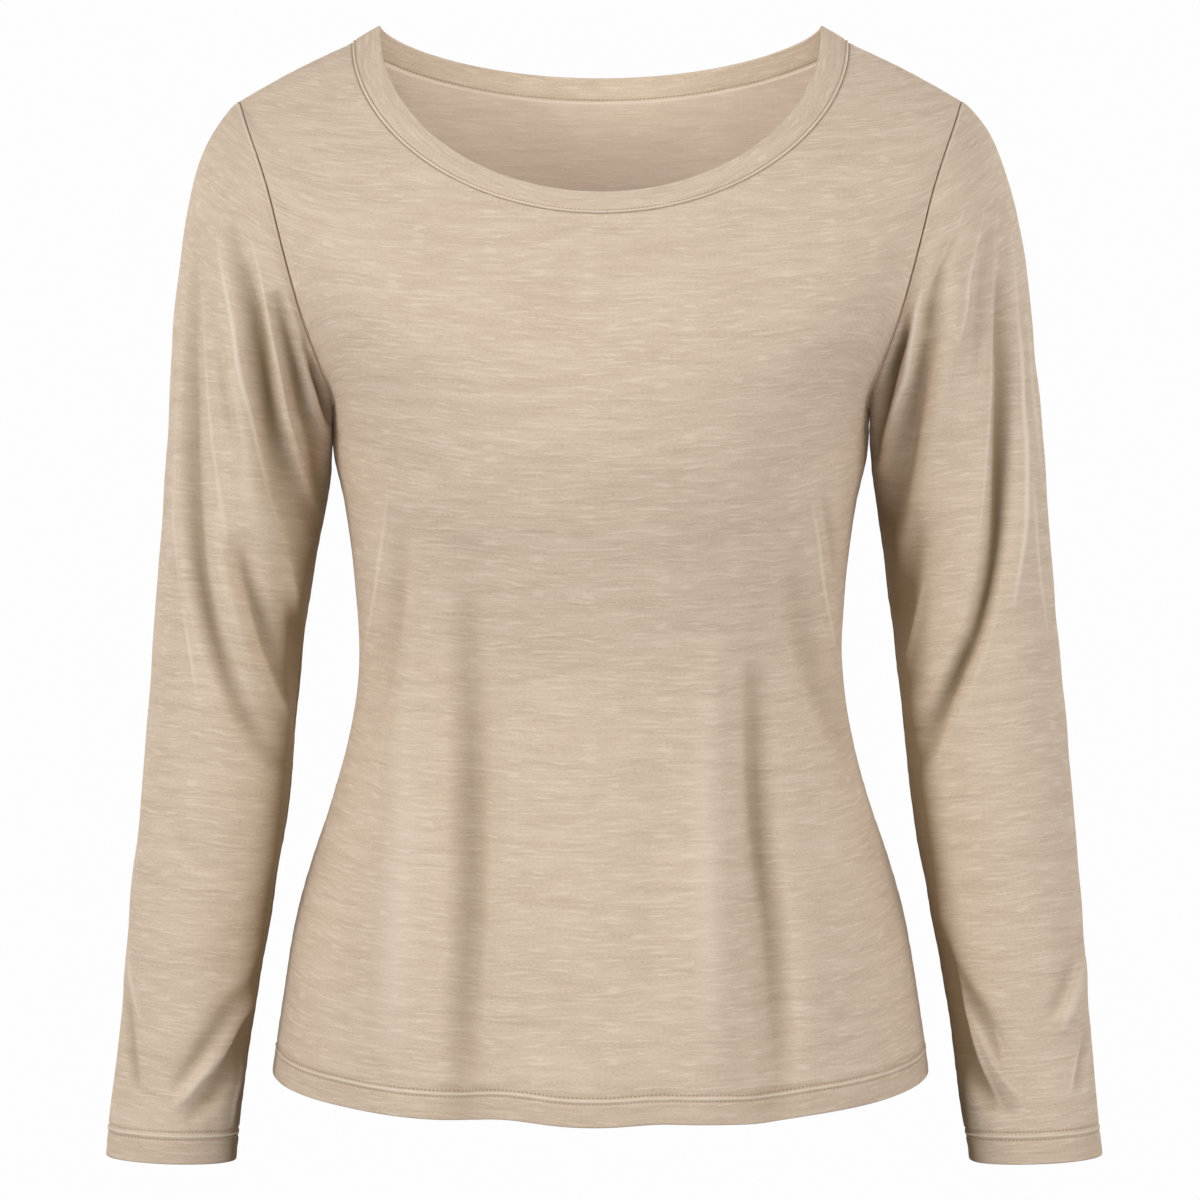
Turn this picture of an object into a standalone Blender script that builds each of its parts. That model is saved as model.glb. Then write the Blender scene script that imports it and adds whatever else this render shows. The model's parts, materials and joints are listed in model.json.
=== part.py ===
"""Long-sleeve scoop-neck top in slub jersey, filled out as if worn, hollow and open at neck, hem and cuffs.

Metres, +Z up. The front faces -Y and the wearer's left is +X. The origin lies between the shoulders,
at the mean height of the shoulder seams, where the wearer carries the garment.

Five sewn pieces, each a closed wall of cloth: front, back, sleeve_left, sleeve_right and neckband.
A panel is a stack of rows. Each row is an arc from edge to edge over the centre line, so its shape
follows from the seam line at its ends and the depth and height at its middle. A sleeve is a stack of
rings, joined to the armhole by smooth curves that share the panels' seam points. Folds are soft
troughs and ridges along paths given as seen from the front or from behind.
"""
import math
from collections import namedtuple

import bpy
import numpy as np

# Cloth and seams
CLOTH = 0.0012            # wall of the jersey
HEM_EXTRA = 0.0006        # added by the turned-up hem and cuffs
HEM_DEPTH = 0.018         # height of the turned-up hem and cuffs
SEAM_GAP = 0.0003         # clearance between two sewn pieces

# How finely each piece is divided
SIDE_ROWS = 11            # hem to underarm
ARMHOLE_ROWS = 14         # underarm to shoulder tip
SHOULDER_ROWS = 3         # shoulder tip to neck
FRONT_COLUMNS = 28
BACK_COLUMNS = 24
CAP_RINGS = 10            # armhole to the first full ring
ARM_RINGS = 14            # first full ring to the cuff

# Seam lines on the wearer's left: x, y, z. The right side mirrors them.
SIDE_SEAM = (
    (0.1837, 0.0, -0.5590),
    (0.1781, 0.0, -0.5210),
    (0.1684, 0.0, -0.4650),
    (0.1601, 0.0, -0.4370),
    (0.1503, 0.0, -0.4090),
    (0.1361, 0.0, -0.3530),
    (0.1336, 0.0, -0.3280),
    (0.1358, 0.0, -0.2970),
    (0.1436, 0.0, -0.2410),
    (0.1500, 0.0, -0.2130),
    (0.1510, 0.0, -0.1920),
)
ARMHOLE = {
    "front": (
        (0.1510, 0.000, -0.1920),
        (0.1484, -0.022, -0.1843),
        (0.1528, -0.045, -0.1709),
        (0.1624, -0.061, -0.1428),
        (0.1731, -0.061, -0.1050),
        (0.1820, -0.049, -0.0726),
        (0.1967, -0.018, -0.0324),
        (0.2030, 0.005, -0.0160),
    ),
    "back": (
        (0.1510, 0.000, -0.1920),
        (0.1530, 0.015, -0.1880),
        (0.1620, 0.036, -0.1700),
        (0.1730, 0.050, -0.1400),
        (0.1840, 0.054, -0.1050),
        (0.1930, 0.048, -0.0700),
        (0.2000, 0.030, -0.0350),
        (0.2030, 0.005, -0.0160),
    ),
}
SHOULDER_SEAM = (
    (0.2030, 0.005, -0.0160),
    (0.1720, 0.007, 0.0016),
    (0.1390, 0.008, 0.0174),
)

# Side outline down the middle of each panel: height z and depth y
OUTLINE = {
    "front": (
        (-0.5745, -0.128),
        (-0.4800, -0.119),
        (-0.3900, -0.107),
        (-0.3350, -0.105),
        (-0.2850, -0.115),
        (-0.2350, -0.128),
        (-0.1850, -0.127),
        (-0.1350, -0.113),
        (-0.0896, -0.095),
    ),
    "back": (
        (-0.5730, 0.118),
        (-0.4780, 0.113),
        (-0.3900, 0.095),
        (-0.3300, 0.088),
        (-0.2600, 0.096),
        (-0.1900, 0.107),
        (-0.1200, 0.106),
        (-0.0600, 0.090),
        (-0.0085, 0.066),
    ),
}
# Rows of a panel. Column v runs 0 at the hem, 1 at the underarm, 2 at the shoulder tip and 3 at the
# neckline; z is the row's height at the middle, wrap how far round it turns, in degrees, and droop
# shapes its fall from edge to middle.
Row = namedtuple("Row", "v z wrap droop")
ROWS = {
    "front": (
        Row(0.00, -0.5745, 90, 1.00),
        Row(0.26, -0.4800, 90, 1.00),
        Row(0.63, -0.3450, 90, 1.00),
        Row(1.00, -0.2270, 84, 1.00),
        Row(1.50, -0.1590, 70, 1.10),
        Row(2.00, -0.1170, 76, 1.14),
        Row(3.00, -0.0896, 90, 1.10),
    ),
    "back": (
        Row(0.00, -0.5730, 90, 1.00),
        Row(0.26, -0.4760, 90, 1.00),
        Row(0.63, -0.3350, 90, 1.00),
        Row(1.00, -0.2060, 84, 1.00),
        Row(1.50, -0.1130, 70, 1.20),
        Row(2.00, -0.0430, 76, 1.40),
        Row(3.00, -0.0085, 90, 1.55),
    ),
}
# Where a panel's hem hangs higher (+) or lower (-) than its even curve: side place, width and rise
HemWave = namedtuple("HemWave", "x width rise")
HEM_WAVES = {
    "front": (
        HemWave(-0.052, 0.026, 0.0032),
        HemWave(0.030, 0.020, 0.0015),
        HemWave(0.084, 0.018, -0.0012),
    ),
    "back": (
        HemWave(-0.075, 0.024, 0.0025),
        HemWave(0.068, 0.026, 0.0028),
    ),
}
HEM_WAVE_ROWS = 0.25      # the waves fade out over these rows above the hem
EDGE_BLEND = 0.22         # rows over which the corners of the seam line are rounded inside the panel
EDGE_BLEND_ENDS = 0.4     # rows from the hem and the neckline over which that rounding grows
EDGE_BLEND_STEPS = 9      # seam points in that rounding's weighted mean
EDGE_BLEND_TAPER = 0.4    # their weights fall off by a cosine over this share of a half turn
EDGE_HOLD = 8             # how fast the panel leaves the true seam line: higher is faster

# Neckband: its free edge, as side and centre points, and its section across the width
BAND_SIDE = (0.1240, 0.008, 0.0262)
BAND_CENTRE = {"front": (-0.0885, -0.0780), "back": (0.0612, 0.0045)}
BAND_DROOP = {"front": 1.03, "back": 1.45}
BandPoint = namedtuple("BandPoint", "across height")
BAND_SECTION = (
    BandPoint(0.00, 0.0004),
    BandPoint(0.30, 0.0010),
    BandPoint(0.75, 0.0009),
    BandPoint(1.00, 0.0002),
    BandPoint(1.00, -0.0010),
    BandPoint(0.55, -0.0014),
    BandPoint(0.00, -0.0012),
)

# Sleeve rings: height, centre and half-width seen from the front, centre and half-depth from the side
Ring = namedtuple("Ring", "z x half_width y half_depth")
SLEEVE_RINGS = {
    "sleeve_right": (
        Ring(-0.232, 0.1985, 0.0464, 0.003, 0.055),
        Ring(-0.297, 0.2063, 0.0428, 0.001, 0.052),
        Ring(-0.353, 0.2112, 0.0416, -0.001, 0.049),
        Ring(-0.409, 0.2156, 0.0412, -0.004, 0.046),
        Ring(-0.465, 0.2226, 0.0393, -0.008, 0.041),
        Ring(-0.521, 0.2291, 0.0372, -0.013, 0.035),
        Ring(-0.577, 0.2356, 0.0362, -0.018, 0.029),
        Ring(-0.606, 0.2386, 0.0362, -0.020, 0.027),
    ),
    "sleeve_left": (
        Ring(-0.232, 0.2016, 0.0482, 0.003, 0.055),
        Ring(-0.297, 0.2085, 0.0462, 0.001, 0.052),
        Ring(-0.353, 0.2137, 0.0455, -0.001, 0.049),
        Ring(-0.409, 0.2192, 0.0450, -0.004, 0.046),
        Ring(-0.465, 0.2258, 0.0424, -0.008, 0.041),
        Ring(-0.521, 0.2325, 0.0392, -0.013, 0.035),
        Ring(-0.577, 0.2382, 0.0376, -0.018, 0.029),
        Ring(-0.606, 0.2414, 0.0371, -0.020, 0.027),
    ),
}
CUFF_TILT = math.radians(2.5)     # the outer side of the cuff sits higher than the inner side
CAP_PULL = 1.18                   # how strongly the cap settles into the first full ring
RING_PROBE = 0.01                 # step down the arm that gives the direction of a cap line's end

# How the sleeve cap leaves the armhole, round the arm from the underarm over the front
CapStart = namedtuple("CapStart", "around x y z")
CAP_STARTS = (
    CapStart(0.00, 0.004, 0.000, -0.050),
    CapStart(0.12, 0.030, -0.010, -0.060),
    CapStart(0.25, 0.060, -0.030, -0.080),
    CapStart(0.38, 0.080, -0.030, -0.085),
    CapStart(0.50, 0.112, 0.000, -0.076),
    CapStart(0.62, 0.080, 0.030, -0.085),
    CapStart(0.75, 0.055, 0.028, -0.080),
    CapStart(0.88, 0.028, 0.010, -0.060),
    CapStart(1.00, 0.004, 0.000, -0.050),
)

# Folds: path of x, z points as seen from VIEW_DISTANCE at VIEW_HEIGHT, half-width and depth.
# A negative depth is a trough and a positive one a ridge.
VIEW_DISTANCE = 2.0
VIEW_HEIGHT = -0.297
FRONT, BEHIND = -1, 1             # the side a fold is seen from, as the sign of y
Fold = namedtuple("Fold", "seen_from path width depth")
FOLDS = {
    "front": (
        Fold(FRONT, ((-0.093, -0.330), (-0.108, -0.440), (-0.120, -0.620)), 0.018, 0.0045),
        Fold(FRONT, ((-0.076, -0.260), (-0.074, -0.420), (-0.082, -0.630)), 0.013, -0.0060),
        Fold(FRONT, ((0.086, -0.300), (0.089, -0.440), (0.101, -0.630)), 0.011, -0.0045),
        Fold(FRONT, ((0.064, -0.320), (0.060, -0.450), (0.058, -0.620)), 0.016, 0.0030),
        Fold(FRONT, ((-0.108, -0.250), (-0.121, -0.320), (-0.138, -0.390)), 0.009, -0.0030),
        Fold(FRONT, ((0.106, -0.270), (0.124, -0.340), (0.148, -0.410)), 0.009, -0.0030),
    ),
    "back": (
        Fold(BEHIND, ((-0.070, -0.280), (-0.078, -0.430), (-0.092, -0.630)), 0.015, -0.0050),
        Fold(BEHIND, ((0.058, -0.300), (0.066, -0.450), (0.074, -0.630)), 0.015, -0.0055),
        Fold(BEHIND, ((-0.020, -0.360), (-0.014, -0.460), (-0.010, -0.630)), 0.016, 0.0040),
        Fold(BEHIND, ((0.110, -0.250), (0.070, -0.285), (0.020, -0.300)), 0.012, -0.0035),
        Fold(BEHIND, ((-0.112, -0.270), (-0.070, -0.305), (-0.015, -0.318)), 0.012, -0.0035),
    ),
    "sleeve_right": (
        Fold(FRONT, ((-0.228, -0.100), (-0.230, -0.220), (-0.224, -0.290), (-0.205, -0.350),
                     (-0.184, -0.392)), 0.007, -0.0045),
        Fold(FRONT, ((-0.206, -0.108), (-0.192, -0.170), (-0.180, -0.225), (-0.170, -0.290)),
             0.008, -0.0055),
        Fold(FRONT, ((-0.204, -0.260), (-0.194, -0.295), (-0.174, -0.345)), 0.009, -0.0040),
        Fold(FRONT, ((-0.216, -0.100), (-0.206, -0.170), (-0.196, -0.235), (-0.182, -0.300)),
             0.009, 0.0035),
        Fold(FRONT, ((-0.238, -0.110), (-0.238, -0.230), (-0.232, -0.310)), 0.008, 0.0020),
        Fold(FRONT, ((-0.226, -0.578), (-0.212, -0.560), (-0.198, -0.530)), 0.006, -0.0030),
        Fold(BEHIND, ((-0.222, -0.120), (-0.214, -0.220), (-0.200, -0.320)), 0.010, -0.0045),
        Fold(BEHIND, ((-0.200, -0.330), (-0.215, -0.370), (-0.236, -0.395)), 0.010, -0.0040),
        Fold(BEHIND, ((-0.216, -0.520), (-0.226, -0.550), (-0.244, -0.570)), 0.007, -0.0025),
    ),
    "sleeve_left": (
        Fold(FRONT, ((0.227, -0.080), (0.2275, -0.200), (0.222, -0.275), (0.204, -0.330),
                     (0.180, -0.375)), 0.007, -0.0045),
        Fold(FRONT, ((0.194, -0.110), (0.184, -0.160), (0.172, -0.215), (0.164, -0.260)),
             0.008, -0.0050),
        Fold(FRONT, ((0.202, -0.100), (0.192, -0.160), (0.180, -0.230), (0.170, -0.290)),
             0.009, 0.0030),
        Fold(FRONT, ((0.184, -0.250), (0.176, -0.290), (0.176, -0.350)), 0.008, -0.0030),
        Fold(FRONT, ((0.238, -0.140), (0.240, -0.240), (0.232, -0.310)), 0.008, 0.0020),
        Fold(FRONT, ((0.196, -0.500), (0.211, -0.535), (0.226, -0.578)), 0.006, -0.0025),
        Fold(BEHIND, ((0.220, -0.110), (0.214, -0.210), (0.202, -0.310)), 0.010, -0.0045),
        Fold(BEHIND, ((0.200, -0.335), (0.218, -0.380), (0.242, -0.400)), 0.010, -0.0040),
        Fold(BEHIND, ((0.214, -0.515), (0.228, -0.545), (0.248, -0.562)), 0.007, -0.0025),
    ),
}
FOLD_STEPS = 24           # short chords that stand for a fold's curved path
FOLD_EDGE = 6             # how close to a panel's side edges its folds keep their height: higher is closer
NECK_CALM = 0.6           # rows below the neckline over which the folds fade out
CAP_CALM = 0.3            # share of the sleeve cap over which the folds fade out at the armhole

SEAM_LOOK_IN = 3          # columns from a panel's edge to the one that tells which way is inwards
SEAM_LOOK_DOWN = 2        # rows below that are read with it
CREASE_ANGLE = math.radians(50)   # sharper bends than this are shaded as edges

JERSEY = (0.66, 0.53, 0.41, 1.0)  # oatmeal beige, linear
JERSEY_ROUGHNESS = 0.9


def unit(vectors):
    """The vectors scaled to length one."""
    length = np.linalg.norm(vectors, axis=-1, keepdims=True)
    return vectors / np.maximum(length, 1e-12)


def smooth_line(knots, values, at):
    """Cubic through (knot, value) pairs, each span entered and left at its neighbours' mean slope."""
    knots = np.asarray(knots, dtype=float)
    values = np.asarray(values, dtype=float)
    at = np.asarray(at, dtype=float)
    slopes = np.gradient(values, knots, axis=0)
    span = np.clip(np.searchsorted(knots, at, side="right") - 1, 0, len(knots) - 2)
    step = knots[span + 1] - knots[span]
    f = (at - knots[span]) / step
    if values.ndim > 1:
        step = step[..., None]
        f = f[..., None]
    rise = values[span + 1] - values[span]
    enter = slopes[span] * step - rise
    leave = rise - slopes[span + 1] * step
    return values[span] + rise * f + f * (1 - f) * (enter * (1 - f) + leave * f)


def along_points(points, fraction):
    """Smooth curve through the points, read by fraction of its length from the first to the last."""
    points = np.asarray(points, dtype=float)
    lengths = np.linalg.norm(np.diff(points, axis=0), axis=1)
    knots = np.concatenate(([0.0], np.cumsum(lengths))) / lengths.sum()
    return smooth_line(knots, points, np.clip(fraction, 0.0, 1.0))


def panel_edge(panel, v):
    """Seam line at the panel's left edge: side seam for v in 0..1, armhole in 1..2, shoulder in 2..3."""
    side = along_points(SIDE_SEAM, v)
    armhole = along_points(ARMHOLE[panel], v - 1)
    shoulder = along_points(SHOULDER_SEAM, v - 2)
    v = v[..., None]
    return np.where(v <= 1, side, np.where(v <= 2, armhole, shoulder))


def rounded_edge(panel, v):
    """The seam line with its corners rounded: the mean over nearby rows, fewer near hem and neck."""
    reach = EDGE_BLEND * np.minimum(1, np.minimum(v, 3 - v) / EDGE_BLEND_ENDS)
    steps = np.linspace(-1, 1, EDGE_BLEND_STEPS)
    weights = np.cos(EDGE_BLEND_TAPER * np.pi * steps)
    return sum(weight * panel_edge(panel, v + step * reach)
               for weight, step in zip(weights / weights.sum(), steps))


def arc_row(edge, centre_y, centre_z, wrap, droop, u):
    """One row of a panel at u in -1..1: x follows the sine of the turned angle, and depth and height
    go from the edge's to the centre's as its cosine rises."""
    angle = np.radians(wrap)
    x = edge[..., 0] * np.sin(angle * u) / np.sin(angle)
    lift = np.clip((np.cos(angle * u) - np.cos(angle)) / (1 - np.cos(angle)), 0.0, 1.0)
    y = edge[..., 1] + (centre_y - edge[..., 1]) * lift
    z = edge[..., 2] + (centre_z - edge[..., 2]) * lift ** droop
    return np.stack((x, y, z), axis=-1)


def panel_surface(panel, u, v):
    """Outer face of a panel, u across from the right edge to the left and v up from the hem: arcs on
    the rounded seam line, drawn out to the true one close to the edge."""
    rows = np.asarray(ROWS[panel], dtype=float)
    outline = np.asarray(OUTLINE[panel], dtype=float)
    centre_z, wrap, droop = (smooth_line(rows[:, 0], rows[:, k], v) for k in (1, 2, 3))
    centre_y = smooth_line(outline[:, 0], outline[:, 1], centre_z)
    rounded = rounded_edge(panel, v)
    correction = (panel_edge(panel, v) - rounded) * (np.abs(u) ** EDGE_HOLD)[..., None]
    correction[..., 0] *= np.sign(u)
    points = arc_row(rounded, centre_y, centre_z, wrap, droop, u) + correction
    for wave in HEM_WAVES[panel]:
        points[..., 2] += (wave.rise * np.exp(-((points[..., 0] - wave.x) / wave.width) ** 2)
                           * (1 - ease(v / HEM_WAVE_ROWS)))
    return points


def ring_surface(sleeve, around, z):
    """Sleeve below the cap: an ellipse at each height, its angle running from the underarm side over
    the front. Near the cuff the ring tilts."""
    rings = np.asarray(SLEEVE_RINGS[sleeve], dtype=float)[::-1]
    x, half_width, y, half_depth = (smooth_line(rings[:, 0], rings[:, k], z) for k in (1, 2, 3, 4))
    angle = np.pi + 2 * np.pi * around
    outward = half_width * np.cos(angle)
    tilt_share = (z - rings[-1, 0]) / (rings[0, 0] - rings[-1, 0])
    height = z + outward * math.tan(CUFF_TILT) * tilt_share
    return np.stack((x + outward, y + half_depth * np.sin(angle), height), axis=-1)


def sleeve_surface(sleeve, around, along):
    """Outer face of a sleeve on the wearer's left: along 0..1 is the cap and 1..2 the arm. A cap line
    is a cubic from an armhole point to the first full ring, with a set direction at each end."""
    rings = np.asarray(SLEEVE_RINGS[sleeve], dtype=float)
    top, bottom = rings[0, 0], rings[-1, 0]
    front_share = np.clip(2 * around, 0, 1)
    back_share = np.clip(2 - 2 * around, 0, 1)
    armhole = np.where((around <= 0.5)[..., None],
                       along_points(ARMHOLE["front"], front_share),
                       along_points(ARMHOLE["back"], back_share))
    first_ring = ring_surface(sleeve, around, np.full_like(around, top))
    below = ring_surface(sleeve, around, np.full_like(around, top - RING_PROBE))
    reach = np.linalg.norm(first_ring - armhole, axis=-1, keepdims=True)
    starts = np.asarray(CAP_STARTS, dtype=float)
    leave = smooth_line(starts[:, 0], starts[:, 1:], around)
    arrive = unit(below - first_ring) * reach * CAP_PULL
    f = np.clip(along, 0, 1)[..., None]
    cap = (armhole * (1 + 2 * f) * (1 - f) ** 2 + first_ring * (3 - 2 * f) * f ** 2
           + leave * f * (1 - f) ** 2 - arrive * (1 - f) * f ** 2)
    arm = ring_surface(sleeve, around, top + (bottom - top) * np.clip(along - 1, 0, 1))
    return np.where((along <= 1)[..., None], cap, arm)


def grid_normals(grid, closed):
    """Unit normals of a grid of points: across the columns, then up the rows."""
    if closed:
        across = np.roll(grid, -1, axis=1) - np.roll(grid, 1, axis=1)
    else:
        across = np.gradient(grid, axis=1)
    return unit(np.cross(across, np.gradient(grid, axis=0)))


def distance_to_path(points, path):
    """Distance from each point to a chain of chords, and how far along the chain it is nearest."""
    chord = path[1:] - path[:-1]
    offset = points[..., None, :] - path[:-1]
    f = np.clip((offset * chord).sum(-1) / (chord * chord).sum(-1), 0, 1)
    gap = np.linalg.norm(offset - f[..., None] * chord, axis=-1)
    nearest = gap.argmin(-1)[..., None]
    along = (nearest + np.take_along_axis(f, nearest, -1)) / len(chord)
    return np.take_along_axis(gap, nearest, -1)[..., 0], along[..., 0]


def fold_relief(grid, normals, folds):
    """Height of the folds over the grid: across its path a fold is a bell, it fades to nothing at both
    ends, and it weakens where the cloth turns away from the side it is seen from."""
    relief = np.zeros(grid.shape[:-1])
    for fold in folds:
        nearer = VIEW_DISTANCE / (VIEW_DISTANCE - fold.seen_from * grid[..., 1])
        seen = np.stack((grid[..., 0] * nearer,
                         VIEW_HEIGHT + (grid[..., 2] - VIEW_HEIGHT) * nearer), axis=-1)
        path = along_points(fold.path, np.linspace(0, 1, FOLD_STEPS + 1))
        gap, along = distance_to_path(seen, path)
        facing = np.clip(fold.seen_from * normals[..., 1], 0, 1)
        relief += (fold.depth * np.exp(-(gap / fold.width) ** 2)
                   * np.sqrt(np.sin(np.pi * along)) * np.sqrt(facing))
    return relief


def ease(x):
    """0 below 0, 1 above 1, with a smooth rise between."""
    x = np.clip(x, 0, 1)
    return x * x * (3 - 2 * x)


def panel_rows():
    """Row positions v of a panel, with one row at the top of the hem."""
    hem_top = HEM_DEPTH / np.linalg.norm(np.diff(np.asarray(SIDE_SEAM), axis=0), axis=1).sum()
    side = np.concatenate(([0.0], np.linspace(hem_top, 1, SIDE_ROWS)))
    armhole = 1 + np.arange(1, ARMHOLE_ROWS + 1) / ARMHOLE_ROWS
    shoulder = 2 + np.arange(1, SHOULDER_ROWS + 1) / SHOULDER_ROWS
    return np.concatenate((side, armhole, shoulder))


def panel_grid(panel, columns):
    """Folded outer grid of a panel. The columns run so that the normals point outwards."""
    direction = 1 if panel == "front" else -1
    u, v = np.meshgrid(direction * np.linspace(-1, 1, columns + 1), panel_rows())
    grid = panel_surface(panel, u, v)
    normals = grid_normals(grid, closed=False)
    inside_edges = (1 - np.abs(u) ** FOLD_EDGE) * ease((3 - v) / NECK_CALM)
    relief = fold_relief(grid, normals, FOLDS[panel]) * inside_edges
    return grid + normals * relief[..., None]


def sleeve_grid(sleeve, side):
    """Folded outer grid of a sleeve, from the cuff up to the armhole, for the side +1 left or -1
    right. The rings run so that the normals point outwards."""
    along_cap = np.linspace(0, 1, CAP_RINGS + 1)
    arm_length = SLEEVE_RINGS[sleeve][0].z - SLEEVE_RINGS[sleeve][-1].z
    cuff_top = 2 - HEM_DEPTH / arm_length
    along_arm = np.append(np.linspace(1, cuff_top, ARM_RINGS)[1:], 2)
    along = np.concatenate((along_cap, along_arm))[::-1]
    around = side * np.arange(2 * ARMHOLE_ROWS) / (2 * ARMHOLE_ROWS) % 1.0
    around, along = np.meshgrid(around, along)
    grid = sleeve_surface(sleeve, around, along)
    grid[..., 0] *= side
    normals = grid_normals(grid, closed=True)
    relief = fold_relief(grid, normals, FOLDS[sleeve]) * ease(along / CAP_CALM)
    return grid + normals * relief[..., None]


def seam_frame(line, normals, inward):
    """Direction into the piece along its surface, square to the seam line, for each seam point."""
    run = unit(np.gradient(line, axis=0))
    away = np.cross(normals, run)
    return unit(away) * np.sign((away * inward).sum(-1, keepdims=True))


def part_seam(own_normals, own_away, other_normals, other_away):
    """Shift that draws a seam edge back from its neighbour by half the gap, and the direction that
    its wall thickness takes there, leaning to the neighbour's where the two surfaces run on."""
    shift = unit((own_away - other_away) + (other_normals - own_normals)) * SEAM_GAP / 2
    agreement = np.clip((own_normals * other_normals).sum(-1, keepdims=True), 0, 1)
    lean = unit(own_normals + agreement * other_normals)
    lean = lean / (lean * own_normals).sum(-1, keepdims=True)
    return shift, lean


def wall(name, outer, inner, closed, flip=False):
    """A closed wall between an outer and an inner grid, its rims joined, split into triangles along
    the same diagonal on both faces."""
    rows, columns = outer.shape[:2]
    index = np.arange(rows * columns).reshape(rows, columns)
    if closed:
        index = np.concatenate((index, index[:, :1]), axis=1)
    inside = index + rows * columns

    def strip(a, b, c, d):
        """Two triangles for each four-cornered patch a, b, c, d, counter-clockwise from outside."""
        corners = [part.ravel() for part in (a, b, c, d)]
        return np.concatenate((np.stack((corners[0], corners[1], corners[2]), axis=1),
                               np.stack((corners[0], corners[2], corners[3]), axis=1)))

    faces = [strip(index[:-1, :-1], index[:-1, 1:], index[1:, 1:], index[1:, :-1]),
             strip(inside[:-1, :-1], inside[:-1, 1:], inside[1:, 1:], inside[1:, :-1])[:, ::-1],
             strip(inside[0, :-1], inside[0, 1:], index[0, 1:], index[0, :-1]),
             strip(index[-1, :-1], index[-1, 1:], inside[-1, 1:], inside[-1, :-1])]
    if not closed:
        faces.append(strip(inside[:-1, 0], index[:-1, 0], index[1:, 0], inside[1:, 0]))
        faces.append(strip(index[:-1, -1], inside[:-1, -1], inside[1:, -1], index[1:, -1]))
    faces = np.concatenate(faces)
    if flip:
        faces = faces[:, ::-1]
    points = np.concatenate((outer.reshape(-1, 3), inner.reshape(-1, 3)))
    return add_object(name, points, faces)


def add_object(name, points, faces):
    """A mesh object in its own jersey material."""
    mesh = bpy.data.meshes.new(name)
    mesh.from_pydata(points.tolist(), [], faces.tolist())
    mesh.shade_smooth()
    mesh.set_sharp_from_angle(angle=CREASE_ANGLE)
    material = bpy.data.materials.new(name + "_jersey")
    material.use_nodes = True
    shader = material.node_tree.nodes["Principled BSDF"]
    shader.inputs["Base Color"].default_value = JERSEY
    shader.inputs["Roughness"].default_value = JERSEY_ROUGHNESS
    shader.inputs["Metallic"].default_value = 0.0
    mesh.materials.append(material)
    piece = bpy.data.objects.new(name, mesh)
    bpy.context.scene.collection.objects.link(piece)
    return piece


def neckline_frame(front, back):
    """The neckline seam as one loop, front from right to left and back from left to right, with the
    free edge of the band beside it."""
    loop = np.concatenate((front[-1, :-1], back[-1, :-1]))
    free = []
    for panel, columns in (("front", FRONT_COLUMNS), ("back", BACK_COLUMNS)):
        direction = 1 if panel == "front" else -1
        u = direction * np.linspace(-1, 1, columns + 1)[:-1]
        side = np.broadcast_to(np.asarray(BAND_SIDE), (columns, 3))
        centre_y, centre_z = BAND_CENTRE[panel]
        free.append(arc_row(side, centre_y, centre_z, 90.0, BAND_DROOP[panel], u))
    return loop, np.concatenate(free)


def band_normals(seam, free):
    """Outward normals of the band: square to its width and to the run of the seam."""
    run = np.roll(seam, -1, axis=0) - np.roll(seam, 1, axis=0)
    return unit(np.cross(run, free - seam))


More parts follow.
